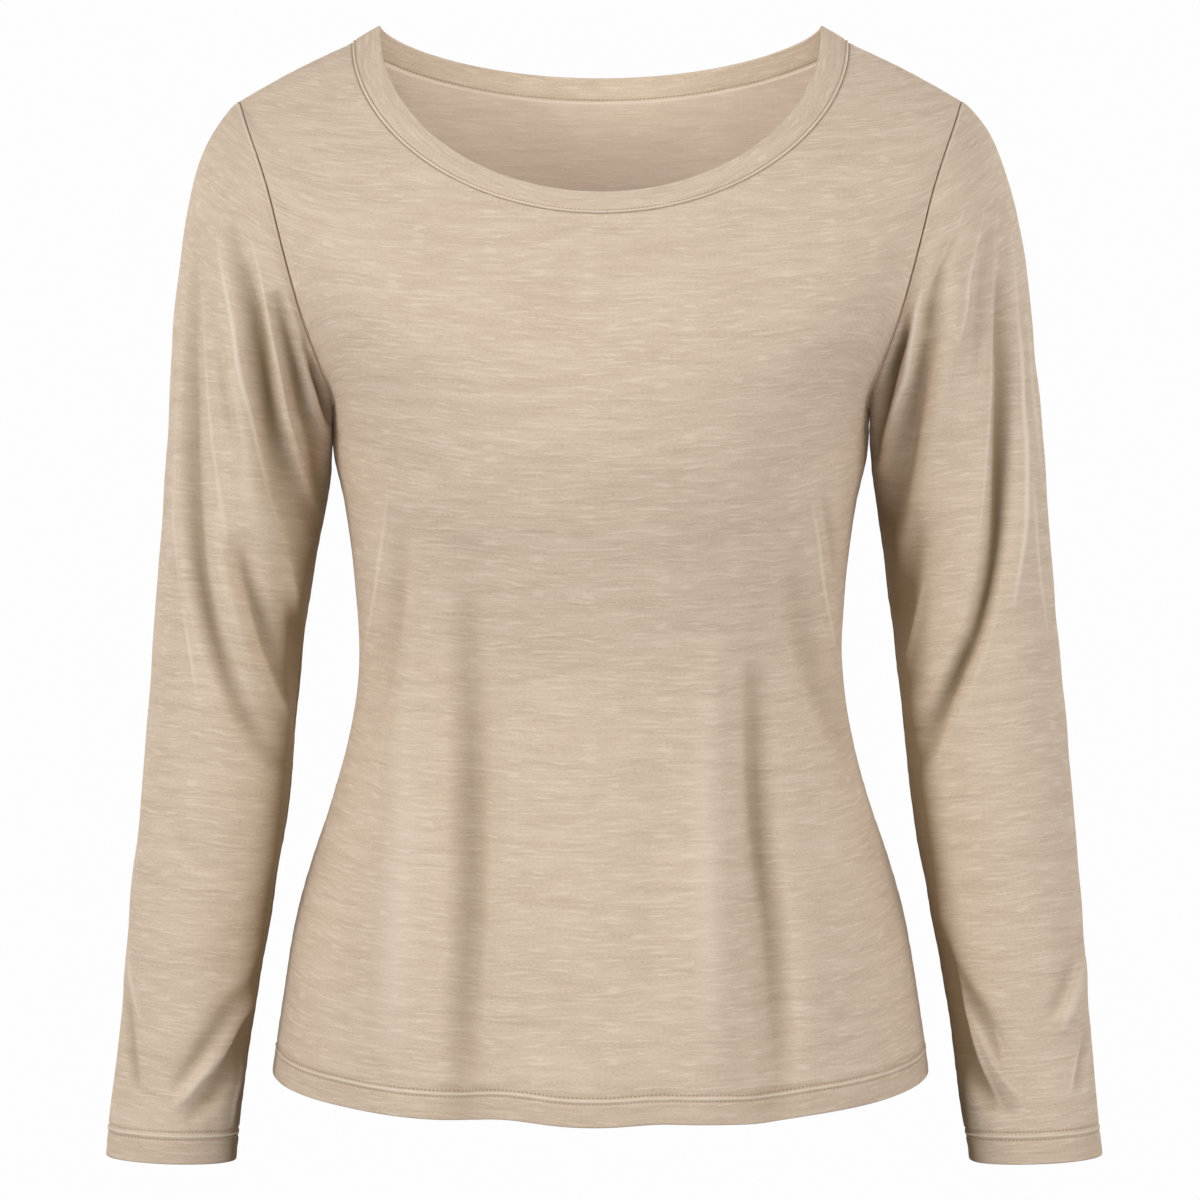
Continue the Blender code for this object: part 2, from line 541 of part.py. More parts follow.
def build_top():
    """Work out all outer grids, then the seams between them, then the walls."""
    front = panel_grid("front", FRONT_COLUMNS)
    back = panel_grid("back", BACK_COLUMNS)
    panels = {"front": front, "back": back}
    panel_normals = {name: grid_normals(grid, closed=False) for name, grid in panels.items()}
    sleeves = {"sleeve_right": sleeve_grid("sleeve_right", -1),
               "sleeve_left": sleeve_grid("sleeve_left", 1)}
    sleeve_normals = {name: grid_normals(grid, closed=True) for name, grid in sleeves.items()}
    underarm = SIDE_ROWS
    tip = SIDE_ROWS + ARMHOLE_ROWS
    # Column of each panel's edge on the wearer's right (-1) and left (+1)
    edge_column = {("front", -1): 0, ("front", 1): -1, ("back", -1): -1, ("back", 1): 0}
    # The cloth runs on smoothly over the side and shoulder seams, so both panels share a normal there
    for side in (-1, 1):
        for rows in (slice(0, underarm + 1), slice(tip, None)):
            places = {panel: (rows, edge_column[panel, side]) for panel in panels}
            shared = unit(sum(panel_normals[panel][places[panel]] for panel in panels))
            for panel in panels:
                panel_normals[panel][places[panel]] = shared
    shift = {name: np.zeros_like(grid) for name, grid in {**panels, **sleeves}.items()}
    lean = {name: normals.copy() for name, normals in {**panel_normals, **sleeve_normals}.items()}

    def edge_part(panel, side, rows):
        """Line, normals and inward direction along one run of a panel's edge."""
        column = edge_column[panel, side]
        grid = panels[panel]
        line = grid[rows, column]
        normals = panel_normals[panel][rows, column]
        inner_column = SEAM_LOOK_IN if column == 0 else -1 - SEAM_LOOK_IN
        inner_rows = np.maximum(np.arange(len(grid))[rows] - SEAM_LOOK_DOWN, 0)
        return line, normals, seam_frame(line, normals, grid[inner_rows, inner_column] - line)

    def settle(name, where, moved, direction):
        """Add a seam's shift and wall direction to a piece's edge."""
        shift[name][where] += moved
        lean[name][where] = direction

    for side, sleeve in ((-1, "sleeve_right"), (1, "sleeve_left")):
        # Side seam and shoulder seam join the two panels
        for rows in (slice(0, underarm + 1), slice(tip, None)):
            ends = {panel: edge_part(panel, side, rows) for panel in panels}
            for panel, other in (("front", "back"), ("back", "front")):
                _, normals, away = ends[panel]
                _, other_normals, other_away = ends[other]
                settle(panel, (rows, edge_column[panel, side]),
                       *part_seam(normals, away, other_normals, other_away))
        # The armhole joins each panel to its half of the sleeve's last ring
        ring = sleeves[sleeve][-1]
        ring_normals = sleeve_normals[sleeve][-1]
        ring_run = unit(np.roll(ring, -1, axis=0) - np.roll(ring, 1, axis=0))
        down = sleeves[sleeve][-2] - ring
        ring_away = np.cross(ring_normals, ring_run)
        ring_away = unit(ring_away) * np.sign((ring_away * down).sum(-1, keepdims=True))
        half = np.arange(ARMHOLE_ROWS + 1)
        rows = slice(underarm, tip + 1)
        ring_shift = np.zeros_like(ring)
        ring_lean = ring_normals.copy()
        for panel in panels:
            places = half if (panel == "front") == (side == 1) else -half
            places = places % (2 * ARMHOLE_ROWS)
            _, normals, away = edge_part(panel, side, rows)
            moved, direction = part_seam(normals, away, ring_normals[places], ring_away[places])
            settle(panel, (rows, edge_column[panel, side]), moved, direction)
            ring_shift[places], ring_lean[places] = part_seam(ring_normals[places], ring_away[places],
                                                              normals, away)
        settle(sleeve, -1, ring_shift, ring_lean)

    # The neckband joins both panels along the neckline
    seam, free = neckline_frame(front, back)
    band_up = band_normals(seam, free)
    width = unit(free - seam)
    loop = {"front": np.arange(FRONT_COLUMNS + 1), "back": FRONT_COLUMNS + np.arange(BACK_COLUMNS + 1)}
    seam_up = band_up.copy()
    for panel in panels:
        places = loop[panel] % len(seam)
        shift[panel][-1] -= width[places] * SEAM_GAP / 2
        seam_up[places] = unit(band_up[places] + panel_normals[panel][-1])
        lean[panel][-1] = seam_up[places]

    for panel in panels:
        hem = np.where(np.arange(len(panels[panel])) <= 1, HEM_EXTRA, 0.0)[:, None, None]
        outer = panels[panel] + shift[panel]
        wall(panel, outer, outer - lean[panel] * (CLOTH + hem), closed=False)
    for sleeve in sleeves:
        cuff = np.where(np.arange(len(sleeves[sleeve])) <= 1, HEM_EXTRA, 0.0)[:, None, None]
        outer = sleeves[sleeve] + shift[sleeve]
        wall(sleeve, outer, outer - lean[sleeve] * (CLOTH + cuff), closed=True)
    build_band(seam, free, seam_up, band_up)


def build_band(seam, free, seam_up, band_up):
    """Folded binding round the neck: a pillowed section carried round the neckline."""
    width = unit(free - seam)
    start = seam + width * SEAM_GAP / 2
    rings = []
    for point in BAND_SECTION:
        up = unit(seam_up * (1 - point.across) + band_up * point.across)
        rings.append(start + (free - start) * point.across + up * point.height)
    count = len(seam)
    index = np.arange(len(rings) * count).reshape(len(rings), count)
    here, there = index, np.roll(index, -1, axis=0)
    here_next, there_next = np.roll(here, -1, axis=1), np.roll(there, -1, axis=1)
    corners = [part.ravel() for part in (here, here_next, there_next, there)]
    faces = np.concatenate((np.stack(corners[:3], axis=1),
                            np.stack((corners[0], corners[2], corners[3]), axis=1)))
    add_object("neckband", np.concatenate(rings), faces)


for leftover in list(bpy.data.objects):
    bpy.data.objects.remove(leftover, do_unlink=True)
build_top()
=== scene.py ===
# %% [markdown]
# # A long-sleeve top in slub jersey
# The top is drawn filled out, as if a wearer held it up: a scooped neck with a narrow binding, set-in
# sleeves, and a turned-up hem and cuffs with two rows of stitching. Five pieces are cut and sewn, and
# each becomes one thin shell here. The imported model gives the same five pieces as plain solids. They
# fix the place and the size of everything below.

import json
import math
from collections import namedtuple

import bpy
import numpy as np
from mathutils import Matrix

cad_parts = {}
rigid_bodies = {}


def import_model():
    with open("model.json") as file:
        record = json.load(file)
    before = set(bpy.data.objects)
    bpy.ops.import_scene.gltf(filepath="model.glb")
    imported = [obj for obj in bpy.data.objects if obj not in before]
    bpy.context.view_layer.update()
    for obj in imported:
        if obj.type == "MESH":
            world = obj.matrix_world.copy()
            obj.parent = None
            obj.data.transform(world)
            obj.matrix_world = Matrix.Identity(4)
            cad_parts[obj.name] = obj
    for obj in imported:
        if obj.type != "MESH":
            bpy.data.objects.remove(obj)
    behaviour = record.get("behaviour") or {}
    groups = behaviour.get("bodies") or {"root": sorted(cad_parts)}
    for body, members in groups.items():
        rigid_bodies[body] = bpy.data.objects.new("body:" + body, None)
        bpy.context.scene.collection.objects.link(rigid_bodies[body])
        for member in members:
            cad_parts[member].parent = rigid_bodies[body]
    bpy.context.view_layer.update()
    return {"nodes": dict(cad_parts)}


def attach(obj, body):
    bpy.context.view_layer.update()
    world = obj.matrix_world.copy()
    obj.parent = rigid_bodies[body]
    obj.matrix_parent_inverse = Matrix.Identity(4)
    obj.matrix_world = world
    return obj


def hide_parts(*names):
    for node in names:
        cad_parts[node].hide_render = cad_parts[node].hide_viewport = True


for leftover in list(bpy.data.objects):
    bpy.data.objects.remove(leftover, do_unlink=True)
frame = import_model()
print("nodes:", ", ".join(sorted(frame["nodes"])))

# %% [markdown]
# ## Camera, floor and light
# The photograph looks straight at the front from about two metres, level with the middle of the top.
# Soft lights on the left, on the right and low in front shape the folds, weaker ones stand higher, two
# more light the back, and a very small one lights the inside of the neck. A pale world lights what none
# of them reaches. The floor lies where the feet of a standing wearer would be.

# %% Camera
CAMERA_DISTANCE = 2.0
CAMERA_HEIGHT = -0.297
CAMERA_SIDE = -0.0003     # place of the camera along X
LENS = 107.0              # millimetres, on a sensor 36 mm wide

camera = bpy.data.objects.new("camera", bpy.data.cameras.new("camera"))
camera.data.lens = LENS
camera.data.sensor_width = 36.0
camera.location = (CAMERA_SIDE, -CAMERA_DISTANCE, CAMERA_HEIGHT)
camera.rotation_euler = (math.radians(90), 0, 0)
bpy.context.scene.collection.objects.link(camera)
bpy.context.scene.camera = camera
bpy.context.scene.view_settings.view_transform = "Standard"
print("camera", tuple(round(value, 3) for value in camera.location))


# %% Soft lights
def soft_light(name, bearing, height, distance, size, watts, middle=(0, 0, -0.28)):
    """A square area light at a distance from a middle point and turned to it. The bearing is in
    degrees from the camera's side, to the right if it is above zero, and so is the height."""
    turn, rise = math.radians(bearing), math.radians(height)
    lamp = bpy.data.lights.new(name, "AREA")
    lamp.size = size
    lamp.energy = watts
    light = bpy.data.objects.new(name, lamp)
    light.location = (middle[0] + distance * math.sin(turn) * math.cos(rise),
                      middle[1] - distance * math.cos(turn) * math.cos(rise),
                      middle[2] + distance * math.sin(rise))
    light.rotation_euler = (math.radians(90) - rise, 0, turn)
    light.visible_camera = False
    bpy.context.scene.collection.objects.link(light)


soft_light("key", -51, 10, 3.0, 1.2, 46)
soft_light("fill", 52, 9, 3.0, 1.6, 37)
soft_light("front", 4, -14, 3.0, 1.4, 23)
soft_light("top", -6, 38, 1.9, 0.8, 2)
soft_light("left_top", -75, 38, 3.0, 1.6, 15)
soft_light("right_top", 75, 38, 3.0, 1.6, 13)
soft_light("back_key", 150, 30, 3.0, 1.6, 50)
soft_light("back_fill", -140, 15, 3.0, 1.6, 34)
soft_light("inside_neck", 0, -35, 0.14, 0.16, 0.11, middle=(0, 0.08, -0.07))
print("lights:", [thing.name for thing in bpy.data.objects if thing.type == "LIGHT"])

# %% [markdown]
# ## Shader maths as plain expressions
# A material is a graph of nodes. The small class below wraps one socket, so that an expression such as
# `1 - mask * 0.3` adds the Math nodes by itself. Colours and vectors go through their own nodes, which
# come from the one method that makes any node.


# %% A socket that can be reckoned with
class Wire:
    """One output socket of a material. Sums, differences, products and quotients of it add Math nodes."""

    def __init__(self, graph, socket):
        self.graph, self.socket = graph, socket

    def maths(self, operation, first, second=0.0):
        return self.graph.node("ShaderNodeMath", {"operation": operation}, {0: first, 1: second})

    def __add__(self, other):
        return self.maths("ADD", self, other)

    __radd__ = __add__

    def __sub__(self, other):
        return self.maths("SUBTRACT", self, other)

    def __rsub__(self, other):
        return self.maths("SUBTRACT", other, self)

    def __mul__(self, other):
        return self.maths("MULTIPLY", self, other)

    __rmul__ = __mul__

    def __truediv__(self, other):
        return self.maths("DIVIDE", self, other)

    def sine(self):
        return self.maths("SINE", self)


# %% A material's graph
class Graph:
    """The nodes of one new material, around its Principled shader."""

    def __init__(self, name):
        self.material = bpy.data.materials.new(name)
        self.material.use_nodes = True
        self.tree = self.material.node_tree
        self.shader = self.tree.nodes["Principled BSDF"]

    def plug(self, socket, value):
        if isinstance(value, Wire):
            self.tree.links.new(value.socket, socket)
        else:
            socket.default_value = value

    def node(self, kind, settings=None, inputs=None, output=0):
        """A node of that type: its settings first, then its sockets' values or links."""
        node = self.tree.nodes.new(kind)
        for key, value in (settings or {}).items():
            setattr(node, key, value)
        for key, value in (inputs or {}).items():
            self.plug(node.inputs[key], value)
        return Wire(self, node.outputs[output])

    def finish(self, **sockets):
        """Plug the shader's sockets, given with _ for each space, and return the material."""
        for name, value in sockets.items():
            self.plug(self.shader.inputs[name.replace("_", " ")], value)
        return self.material


# %% Floor and world
FLOOR_HEIGHT = -1.36      # a standing wearer's shoulders are this far above the ground
FLOOR_REACH = 4.0
FLOOR_SIDES = 96
WORLD_LIGHT = 0.12        # how strongly the pale world lights the cloth
BACKGROUND = 0.985        # how bright it looks behind the top

floor_mesh = bpy.data.meshes.new("floor")
turn = np.linspace(0, 2 * np.pi, FLOOR_SIDES, endpoint=False)
ground = np.stack((FLOOR_REACH * np.cos(turn), FLOOR_REACH * np.sin(turn),
                   np.full(FLOOR_SIDES, FLOOR_HEIGHT)), axis=1)
floor_mesh.from_pydata(ground.tolist(), [], [list(range(FLOOR_SIDES))])
floor = bpy.data.objects.new("floor", floor_mesh)
bpy.context.scene.collection.objects.link(floor)
pale = Graph("pale_floor")
floor_mesh.materials.append(pale.finish(Base_Color=(0.25, 0.25, 0.25, 1), Roughness=0.9,
                                        Emission_Color=(1, 1, 1, 1), Emission_Strength=0.8))
floor.visible_diffuse = False

world = bpy.data.worlds.new("pale_world")
world.use_nodes = True
sky = world.node_tree
rays = sky.nodes.new("ShaderNodeLightPath")
level = sky.nodes.new("ShaderNodeMix")
level.inputs["A"].default_value = WORLD_LIGHT
level.inputs["B"].default_value = BACKGROUND
sky.links.new(rays.outputs["Is Camera Ray"], level.inputs["Factor"])
sky.nodes["Background"].inputs["Color"].default_value = (1, 1, 1, 1)
sky.links.new(level.outputs["Result"], sky.nodes["Background"].inputs["Strength"])
bpy.context.scene.world = world
print("floor at", FLOOR_HEIGHT, "m")

# %% [markdown]
# ## The cut
# A maker draws a top from its seam lines: the side seams, the armholes and the shoulder seams. Those
# are short lists of points here, on the wearer's left, and smooth cubics run through them. Two more
# short tables give each panel's outline from the side and how its rows turn round the body.


# %% Curves through points
def unit(vectors):
    """The vectors scaled to length one."""
    return vectors / np.maximum(np.linalg.norm(vectors, axis=-1, keepdims=True), 1e-12)


def ease(x):
    """0 below 0, 1 above 1, and 3x^2 - 2x^3 between."""
    x = np.clip(x, 0, 1)
    return x * x * (3 - 2 * x)


def smooth_line(knots, values, at):
    """Cubic through (knot, value) pairs, each span entered and left at its neighbours' mean slope."""
    knots = np.asarray(knots, dtype=float)
    values = np.asarray(values, dtype=float)
    at = np.asarray(at, dtype=float)
    slopes = np.gradient(values, knots, axis=0)
    span = np.clip(np.searchsorted(knots, at, side="right") - 1, 0, len(knots) - 2)
    step = knots[span + 1] - knots[span]
    f = (at - knots[span]) / step
    if values.ndim > 1:
        step = step[..., None]
        f = f[..., None]
    rise = values[span + 1] - values[span]
    enter = slopes[span] * step - rise
    leave = rise - slopes[span + 1] * step
    return values[span] + rise * f + f * (1 - f) * (enter * (1 - f) + leave * f)


def along_points(points, fraction):
    """Smooth curve through the points, read by fraction of its length from the first to the last."""
    points = np.asarray(points, dtype=float)
    lengths = np.linalg.norm(np.diff(points, axis=0), axis=1)
    knots = np.concatenate(([0.0], np.cumsum(lengths))) / lengths.sum()
    return smooth_line(knots, points, np.clip(fraction, 0.0, 1.0))


def length_of(points):
    """Length of the chain of straight lines through the points."""
    return np.linalg.norm(np.diff(np.asarray(points), axis=0), axis=1).sum()


# %% Seam lines of the panels
SIDE_SEAM = (
    (0.1837, 0.0, -0.5590),
    (0.1781, 0.0, -0.5210),
    (0.1684, 0.0, -0.4650),
    (0.1601, 0.0, -0.4370),
    (0.1503, 0.0, -0.4090),
    (0.1361, 0.0, -0.3530),
    (0.1336, 0.0, -0.3280),
    (0.1358, 0.0, -0.2970),
    (0.1436, 0.0, -0.2410),
    (0.1500, 0.0, -0.2130),
    (0.1510, 0.0, -0.1920),
)
ARMHOLE = {
    "front": (
        (0.1510, 0.000, -0.1920),
        (0.1484, -0.022, -0.1843),
        (0.1528, -0.045, -0.1709),
        (0.1624, -0.061, -0.1428),
        (0.1731, -0.061, -0.1050),
        (0.1820, -0.049, -0.0726),
        (0.1967, -0.018, -0.0324),
        (0.2030, 0.005, -0.0160),
    ),
    "back": (
        (0.1510, 0.000, -0.1920),
        (0.1530, 0.015, -0.1880),
        (0.1620, 0.036, -0.1700),
        (0.1730, 0.050, -0.1400),
        (0.1840, 0.054, -0.1050),
        (0.1930, 0.048, -0.0700),
        (0.2000, 0.030, -0.0350),
        (0.2030, 0.005, -0.0160),
    ),
}
SHOULDER_SEAM = (
    (0.2030, 0.005, -0.0160),
    (0.1720, 0.007, 0.0016),
    (0.1390, 0.008, 0.0174),
)
SIDE_LENGTH = length_of(SIDE_SEAM)
ARMHOLE_LENGTH = {panel: length_of(line) for panel, line in ARMHOLE.items()}
SHOULDER_LENGTH = length_of(SHOULDER_SEAM)
print("side seam %.0f mm, armhole %.0f and %.0f mm, shoulder %.0f mm" % tuple(
    1000 * value for value in (SIDE_LENGTH, *ARMHOLE_LENGTH.values(), SHOULDER_LENGTH)))

# %% Side outline and rows of the panels
# Down the middle of each panel: height z and depth y
OUTLINE = {
    "front": (
        (-0.5745, -0.128),
        (-0.4800, -0.119),
        (-0.3900, -0.107),
        (-0.3350, -0.105),
        (-0.2850, -0.115),
        (-0.2350, -0.128),
        (-0.1850, -0.127),
        (-0.1350, -0.113),
        (-0.0896, -0.095),
    ),
    "back": (
        (-0.5730, 0.118),
        (-0.4780, 0.113),
        (-0.3900, 0.095),
        (-0.3300, 0.088),
        (-0.2600, 0.096),
        (-0.1900, 0.107),
        (-0.1200, 0.106),
        (-0.0600, 0.090),
        (-0.0085, 0.066),
    ),
}
# Row v runs 0 at the hem, 1 at the underarm, 2 at the shoulder tip and 3 at the neckline. z is its
# height at the middle, wrap how far round it turns in degrees, droop how it falls from edge to middle.
Row = namedtuple("Row", "v z wrap droop")
ROWS = {
    "front": (
        Row(0.00, -0.5745, 90, 1.00),
        Row(0.26, -0.4800, 90, 1.00),
        Row(0.63, -0.3450, 90, 1.00),
        Row(1.00, -0.2270, 84, 1.00),
        Row(1.50, -0.1590, 70, 1.10),
        Row(2.00, -0.1170, 76, 1.14),
        Row(3.00, -0.0896, 90, 1.10),
    ),
    "back": (
        Row(0.00, -0.5730, 90, 1.00),
        Row(0.26, -0.4760, 90, 1.00),
        Row(0.63, -0.3350, 90, 1.00),
        Row(1.00, -0.2060, 84, 1.00),
        Row(1.50, -0.1130, 70, 1.20),
        Row(2.00, -0.0430, 76, 1.40),
        Row(3.00, -0.0085, 90, 1.55),
    ),
}
# Where the hem hangs higher (+) or lower (-) than its even curve
HemWave = namedtuple("HemWave", "x width rise")
HEM_WAVES = {
    "front": (
        HemWave(-0.052, 0.026, 0.0032),
        HemWave(0.030, 0.020, 0.0015),
        HemWave(0.084, 0.018, -0.0012),
    ),
    "back": (
        HemWave(-0.075, 0.024, 0.0025),
        HemWave(0.068, 0.026, 0.0028),
    ),
}
HEM_WAVE_ROWS = 0.25      # the waves fade out over these rows above the hem
EDGE_BLEND = 0.22         # rows over which the corners of the seam line are rounded inside the panel
EDGE_BLEND_ENDS = 0.4     # rows from the hem and the neckline over which that rounding grows
EDGE_HOLD = 8             # how fast the panel leaves the true seam line: higher is faster
print("front middle %.0f mm long, back middle %.0f mm" % tuple(
    1000 * length_of([(0, y, z) for z, y in OUTLINE[panel]]) for panel in ("front", "back")))


# %% A panel as a surface of u and v
def panel_edge(panel, v):
    """Seam line at the panel's left edge: side seam for v in 0..1, armhole in 1..2, shoulder in 2..3."""
    side = along_points(SIDE_SEAM, v)
    armhole = along_points(ARMHOLE[panel], v - 1)
    shoulder = along_points(SHOULDER_SEAM, v - 2)
    v = v[..., None]
    return np.where(v <= 1, side, np.where(v <= 2, armhole, shoulder))


def rounded_edge(panel, v):
    """The seam line with its corners rounded: a cosine-weighted mean over nearby rows."""
    reach = EDGE_BLEND * np.minimum(1, np.minimum(v, 3 - v) / EDGE_BLEND_ENDS)
    steps = np.linspace(-1, 1, 9)
    weights = np.cos(0.4 * np.pi * steps)
    return sum(weight * panel_edge(panel, v + step * reach)
               for weight, step in zip(weights / weights.sum(), steps))


def arc_row(edge, centre_y, centre_z, wrap, droop, u):
    """One row at u in -1..1. With a the wrap angle, x = edge x * sin(a u) / sin(a), and with
    h = (cos(a u) - cos(a)) / (1 - cos(a)) the depth goes from edge to centre by h, the height by
    h^droop."""
    angle = np.radians(wrap)
    x = edge[..., 0] * np.sin(angle * u) / np.sin(angle)
    lift = np.clip((np.cos(angle * u) - np.cos(angle)) / (1 - np.cos(angle)), 0.0, 1.0)
    y = edge[..., 1] + (centre_y - edge[..., 1]) * lift
    z = edge[..., 2] + (centre_z - edge[..., 2]) * lift ** droop
    return np.stack((x, y, z), axis=-1)


def panel_surface(panel, u, v):
    """Outer face of a panel: arcs on the rounded seam line, drawn out to the true seam by |u|^8, with
    bell-shaped waves added to the height near the hem."""
    rows = np.asarray(ROWS[panel], dtype=float)
    outline = np.asarray(OUTLINE[panel], dtype=float)
    centre_z, wrap, droop = (smooth_line(rows[:, 0], rows[:, k], v) for k in (1, 2, 3))
    centre_y = smooth_line(outline[:, 0], outline[:, 1], centre_z)
    rounded = rounded_edge(panel, v)
    correction = (panel_edge(panel, v) - rounded) * (np.abs(u) ** EDGE_HOLD)[..., None]
    correction[..., 0] *= np.sign(u)
    points = arc_row(rounded, centre_y, centre_z, wrap, droop, u) + correction
    for wave in HEM_WAVES[panel]:
        points[..., 2] += (wave.rise * np.exp(-((points[..., 0] - wave.x) / wave.width) ** 2)
                           * (1 - ease(v / HEM_WAVE_ROWS)))
    return points


# %% [markdown]
# ## The sleeves
# Below the underarm a sleeve is a stack of ellipses, one for each height. Above it, the cap joins the
# same seam line that the panels use: every cap line is a cubic that leaves the armhole in a direction
# taken from a table and arrives in line with the arm.

# %% Sleeve tables
Ring = namedtuple("Ring", "z x half_width y half_depth")
SLEEVE_RINGS = {
    "sleeve_right": (
        Ring(-0.232, 0.1985, 0.0464, 0.003, 0.055),
        Ring(-0.297, 0.2063, 0.0428, 0.001, 0.052),
        Ring(-0.353, 0.2112, 0.0416, -0.001, 0.049),
        Ring(-0.409, 0.2156, 0.0412, -0.004, 0.046),
        Ring(-0.465, 0.2226, 0.0393, -0.008, 0.041),
        Ring(-0.521, 0.2291, 0.0372, -0.013, 0.035),
        Ring(-0.577, 0.2356, 0.0362, -0.018, 0.029),
        Ring(-0.606, 0.2386, 0.0362, -0.020, 0.027),
    ),
    "sleeve_left": (
        Ring(-0.232, 0.2016, 0.0482, 0.003, 0.055),
        Ring(-0.297, 0.2085, 0.0462, 0.001, 0.052),
        Ring(-0.353, 0.2137, 0.0455, -0.001, 0.049),
        Ring(-0.409, 0.2192, 0.0450, -0.004, 0.046),
        Ring(-0.465, 0.2258, 0.0424, -0.008, 0.041),
        Ring(-0.521, 0.2325, 0.0392, -0.013, 0.035),
        Ring(-0.577, 0.2382, 0.0376, -0.018, 0.029),
        Ring(-0.606, 0.2414, 0.0371, -0.020, 0.027),
    ),
}
CUFF_TILT = math.radians(2.5)     # the outer side of the cuff sits higher than the inner side
CAP_PULL = 1.18                   # how strongly the cap settles into the first full ring
# How the cap leaves the armhole, round the arm from the underarm over the front
CapStart = namedtuple("CapStart", "around x y z")
CAP_STARTS = (
    CapStart(0.00, 0.004, 0.000, -0.050),
    CapStart(0.12, 0.030, -0.010, -0.060),
    CapStart(0.25, 0.060, -0.030, -0.080),
    CapStart(0.38, 0.080, -0.030, -0.085),
    CapStart(0.50, 0.112, 0.000, -0.076),
    CapStart(0.62, 0.080, 0.030, -0.085),
    CapStart(0.75, 0.055, 0.028, -0.080),
    CapStart(0.88, 0.028, 0.010, -0.060),
    CapStart(1.00, 0.004, 0.000, -0.050),
)
ARM_LENGTH = {name: rings[0].z - rings[-1].z for name, rings in SLEEVE_RINGS.items()}
print("sleeve below the cap: %.0f mm" % (1000 * ARM_LENGTH["sleeve_left"]))


# %% A sleeve as a surface
def ring_surface(sleeve, around, z):
    """Sleeve below the cap: x = cx + a cos(t), y = cy + b sin(t) with t = pi + 2 pi around, and the
    height rises outwards by the cuff's tilt, more and more towards the cuff."""
    rings = np.asarray(SLEEVE_RINGS[sleeve], dtype=float)[::-1]
    x, half_width, y, half_depth = (smooth_line(rings[:, 0], rings[:, k], z) for k in (1, 2, 3, 4))
    angle = np.pi + 2 * np.pi * around
    outward = half_width * np.cos(angle)
    tilt_share = (z - rings[-1, 0]) / (rings[0, 0] - rings[-1, 0])
    height = z + outward * math.tan(CUFF_TILT) * tilt_share
    return np.stack((x + outward, y + half_depth * np.sin(angle), height), axis=-1)


def sleeve_surface(sleeve, around, along):
    """Outer face of a sleeve on the wearer's left: along 0..1 is the cap, a Hermite cubic from the
    armhole point to the first full ring, and 1..2 the arm."""
    rings = np.asarray(SLEEVE_RINGS[sleeve], dtype=float)
    top, bottom = rings[0, 0], rings[-1, 0]
    front_share = np.clip(2 * around, 0, 1)
    back_share = np.clip(2 - 2 * around, 0, 1)
    armhole = np.where((around <= 0.5)[..., None],
                       along_points(ARMHOLE["front"], front_share),
                       along_points(ARMHOLE["back"], back_share))
    first_ring = ring_surface(sleeve, around, np.full_like(around, top))
    below = ring_surface(sleeve, around, np.full_like(around, top - 0.01))
    reach = np.linalg.norm(first_ring - armhole, axis=-1, keepdims=True)
    starts = np.asarray(CAP_STARTS, dtype=float)
    leave = smooth_line(starts[:, 0], starts[:, 1:], around)
    arrive = unit(below - first_ring) * reach * CAP_PULL
    f = np.clip(along, 0, 1)[..., None]
    cap = (armhole * (1 + 2 * f) * (1 - f) ** 2 + first_ring * (3 - 2 * f) * f ** 2
           + leave * f * (1 - f) ** 2 - arrive * (1 - f) * f ** 2)
    arm = ring_surface(sleeve, around, top + (bottom - top) * np.clip(along - 1, 0, 1))
    return np.where((along <= 1)[..., None], cap, arm)


# %% [markdown]
# ## Folds
# A fold is a path across the cloth with a width and a depth: a trough if the depth is below zero, a
# ridge if it is above. The paths are given in millimetres as they look from two metres away, from the
# front or from behind. Across its path a fold is a bell, and it fades to nothing at both ends. One that
# leans is wider on one side, as folds under pull are. The long folds are also in the solids. The creases
# are finer: sharp thin ridges, deep hollows beside them, and shallow ones between.

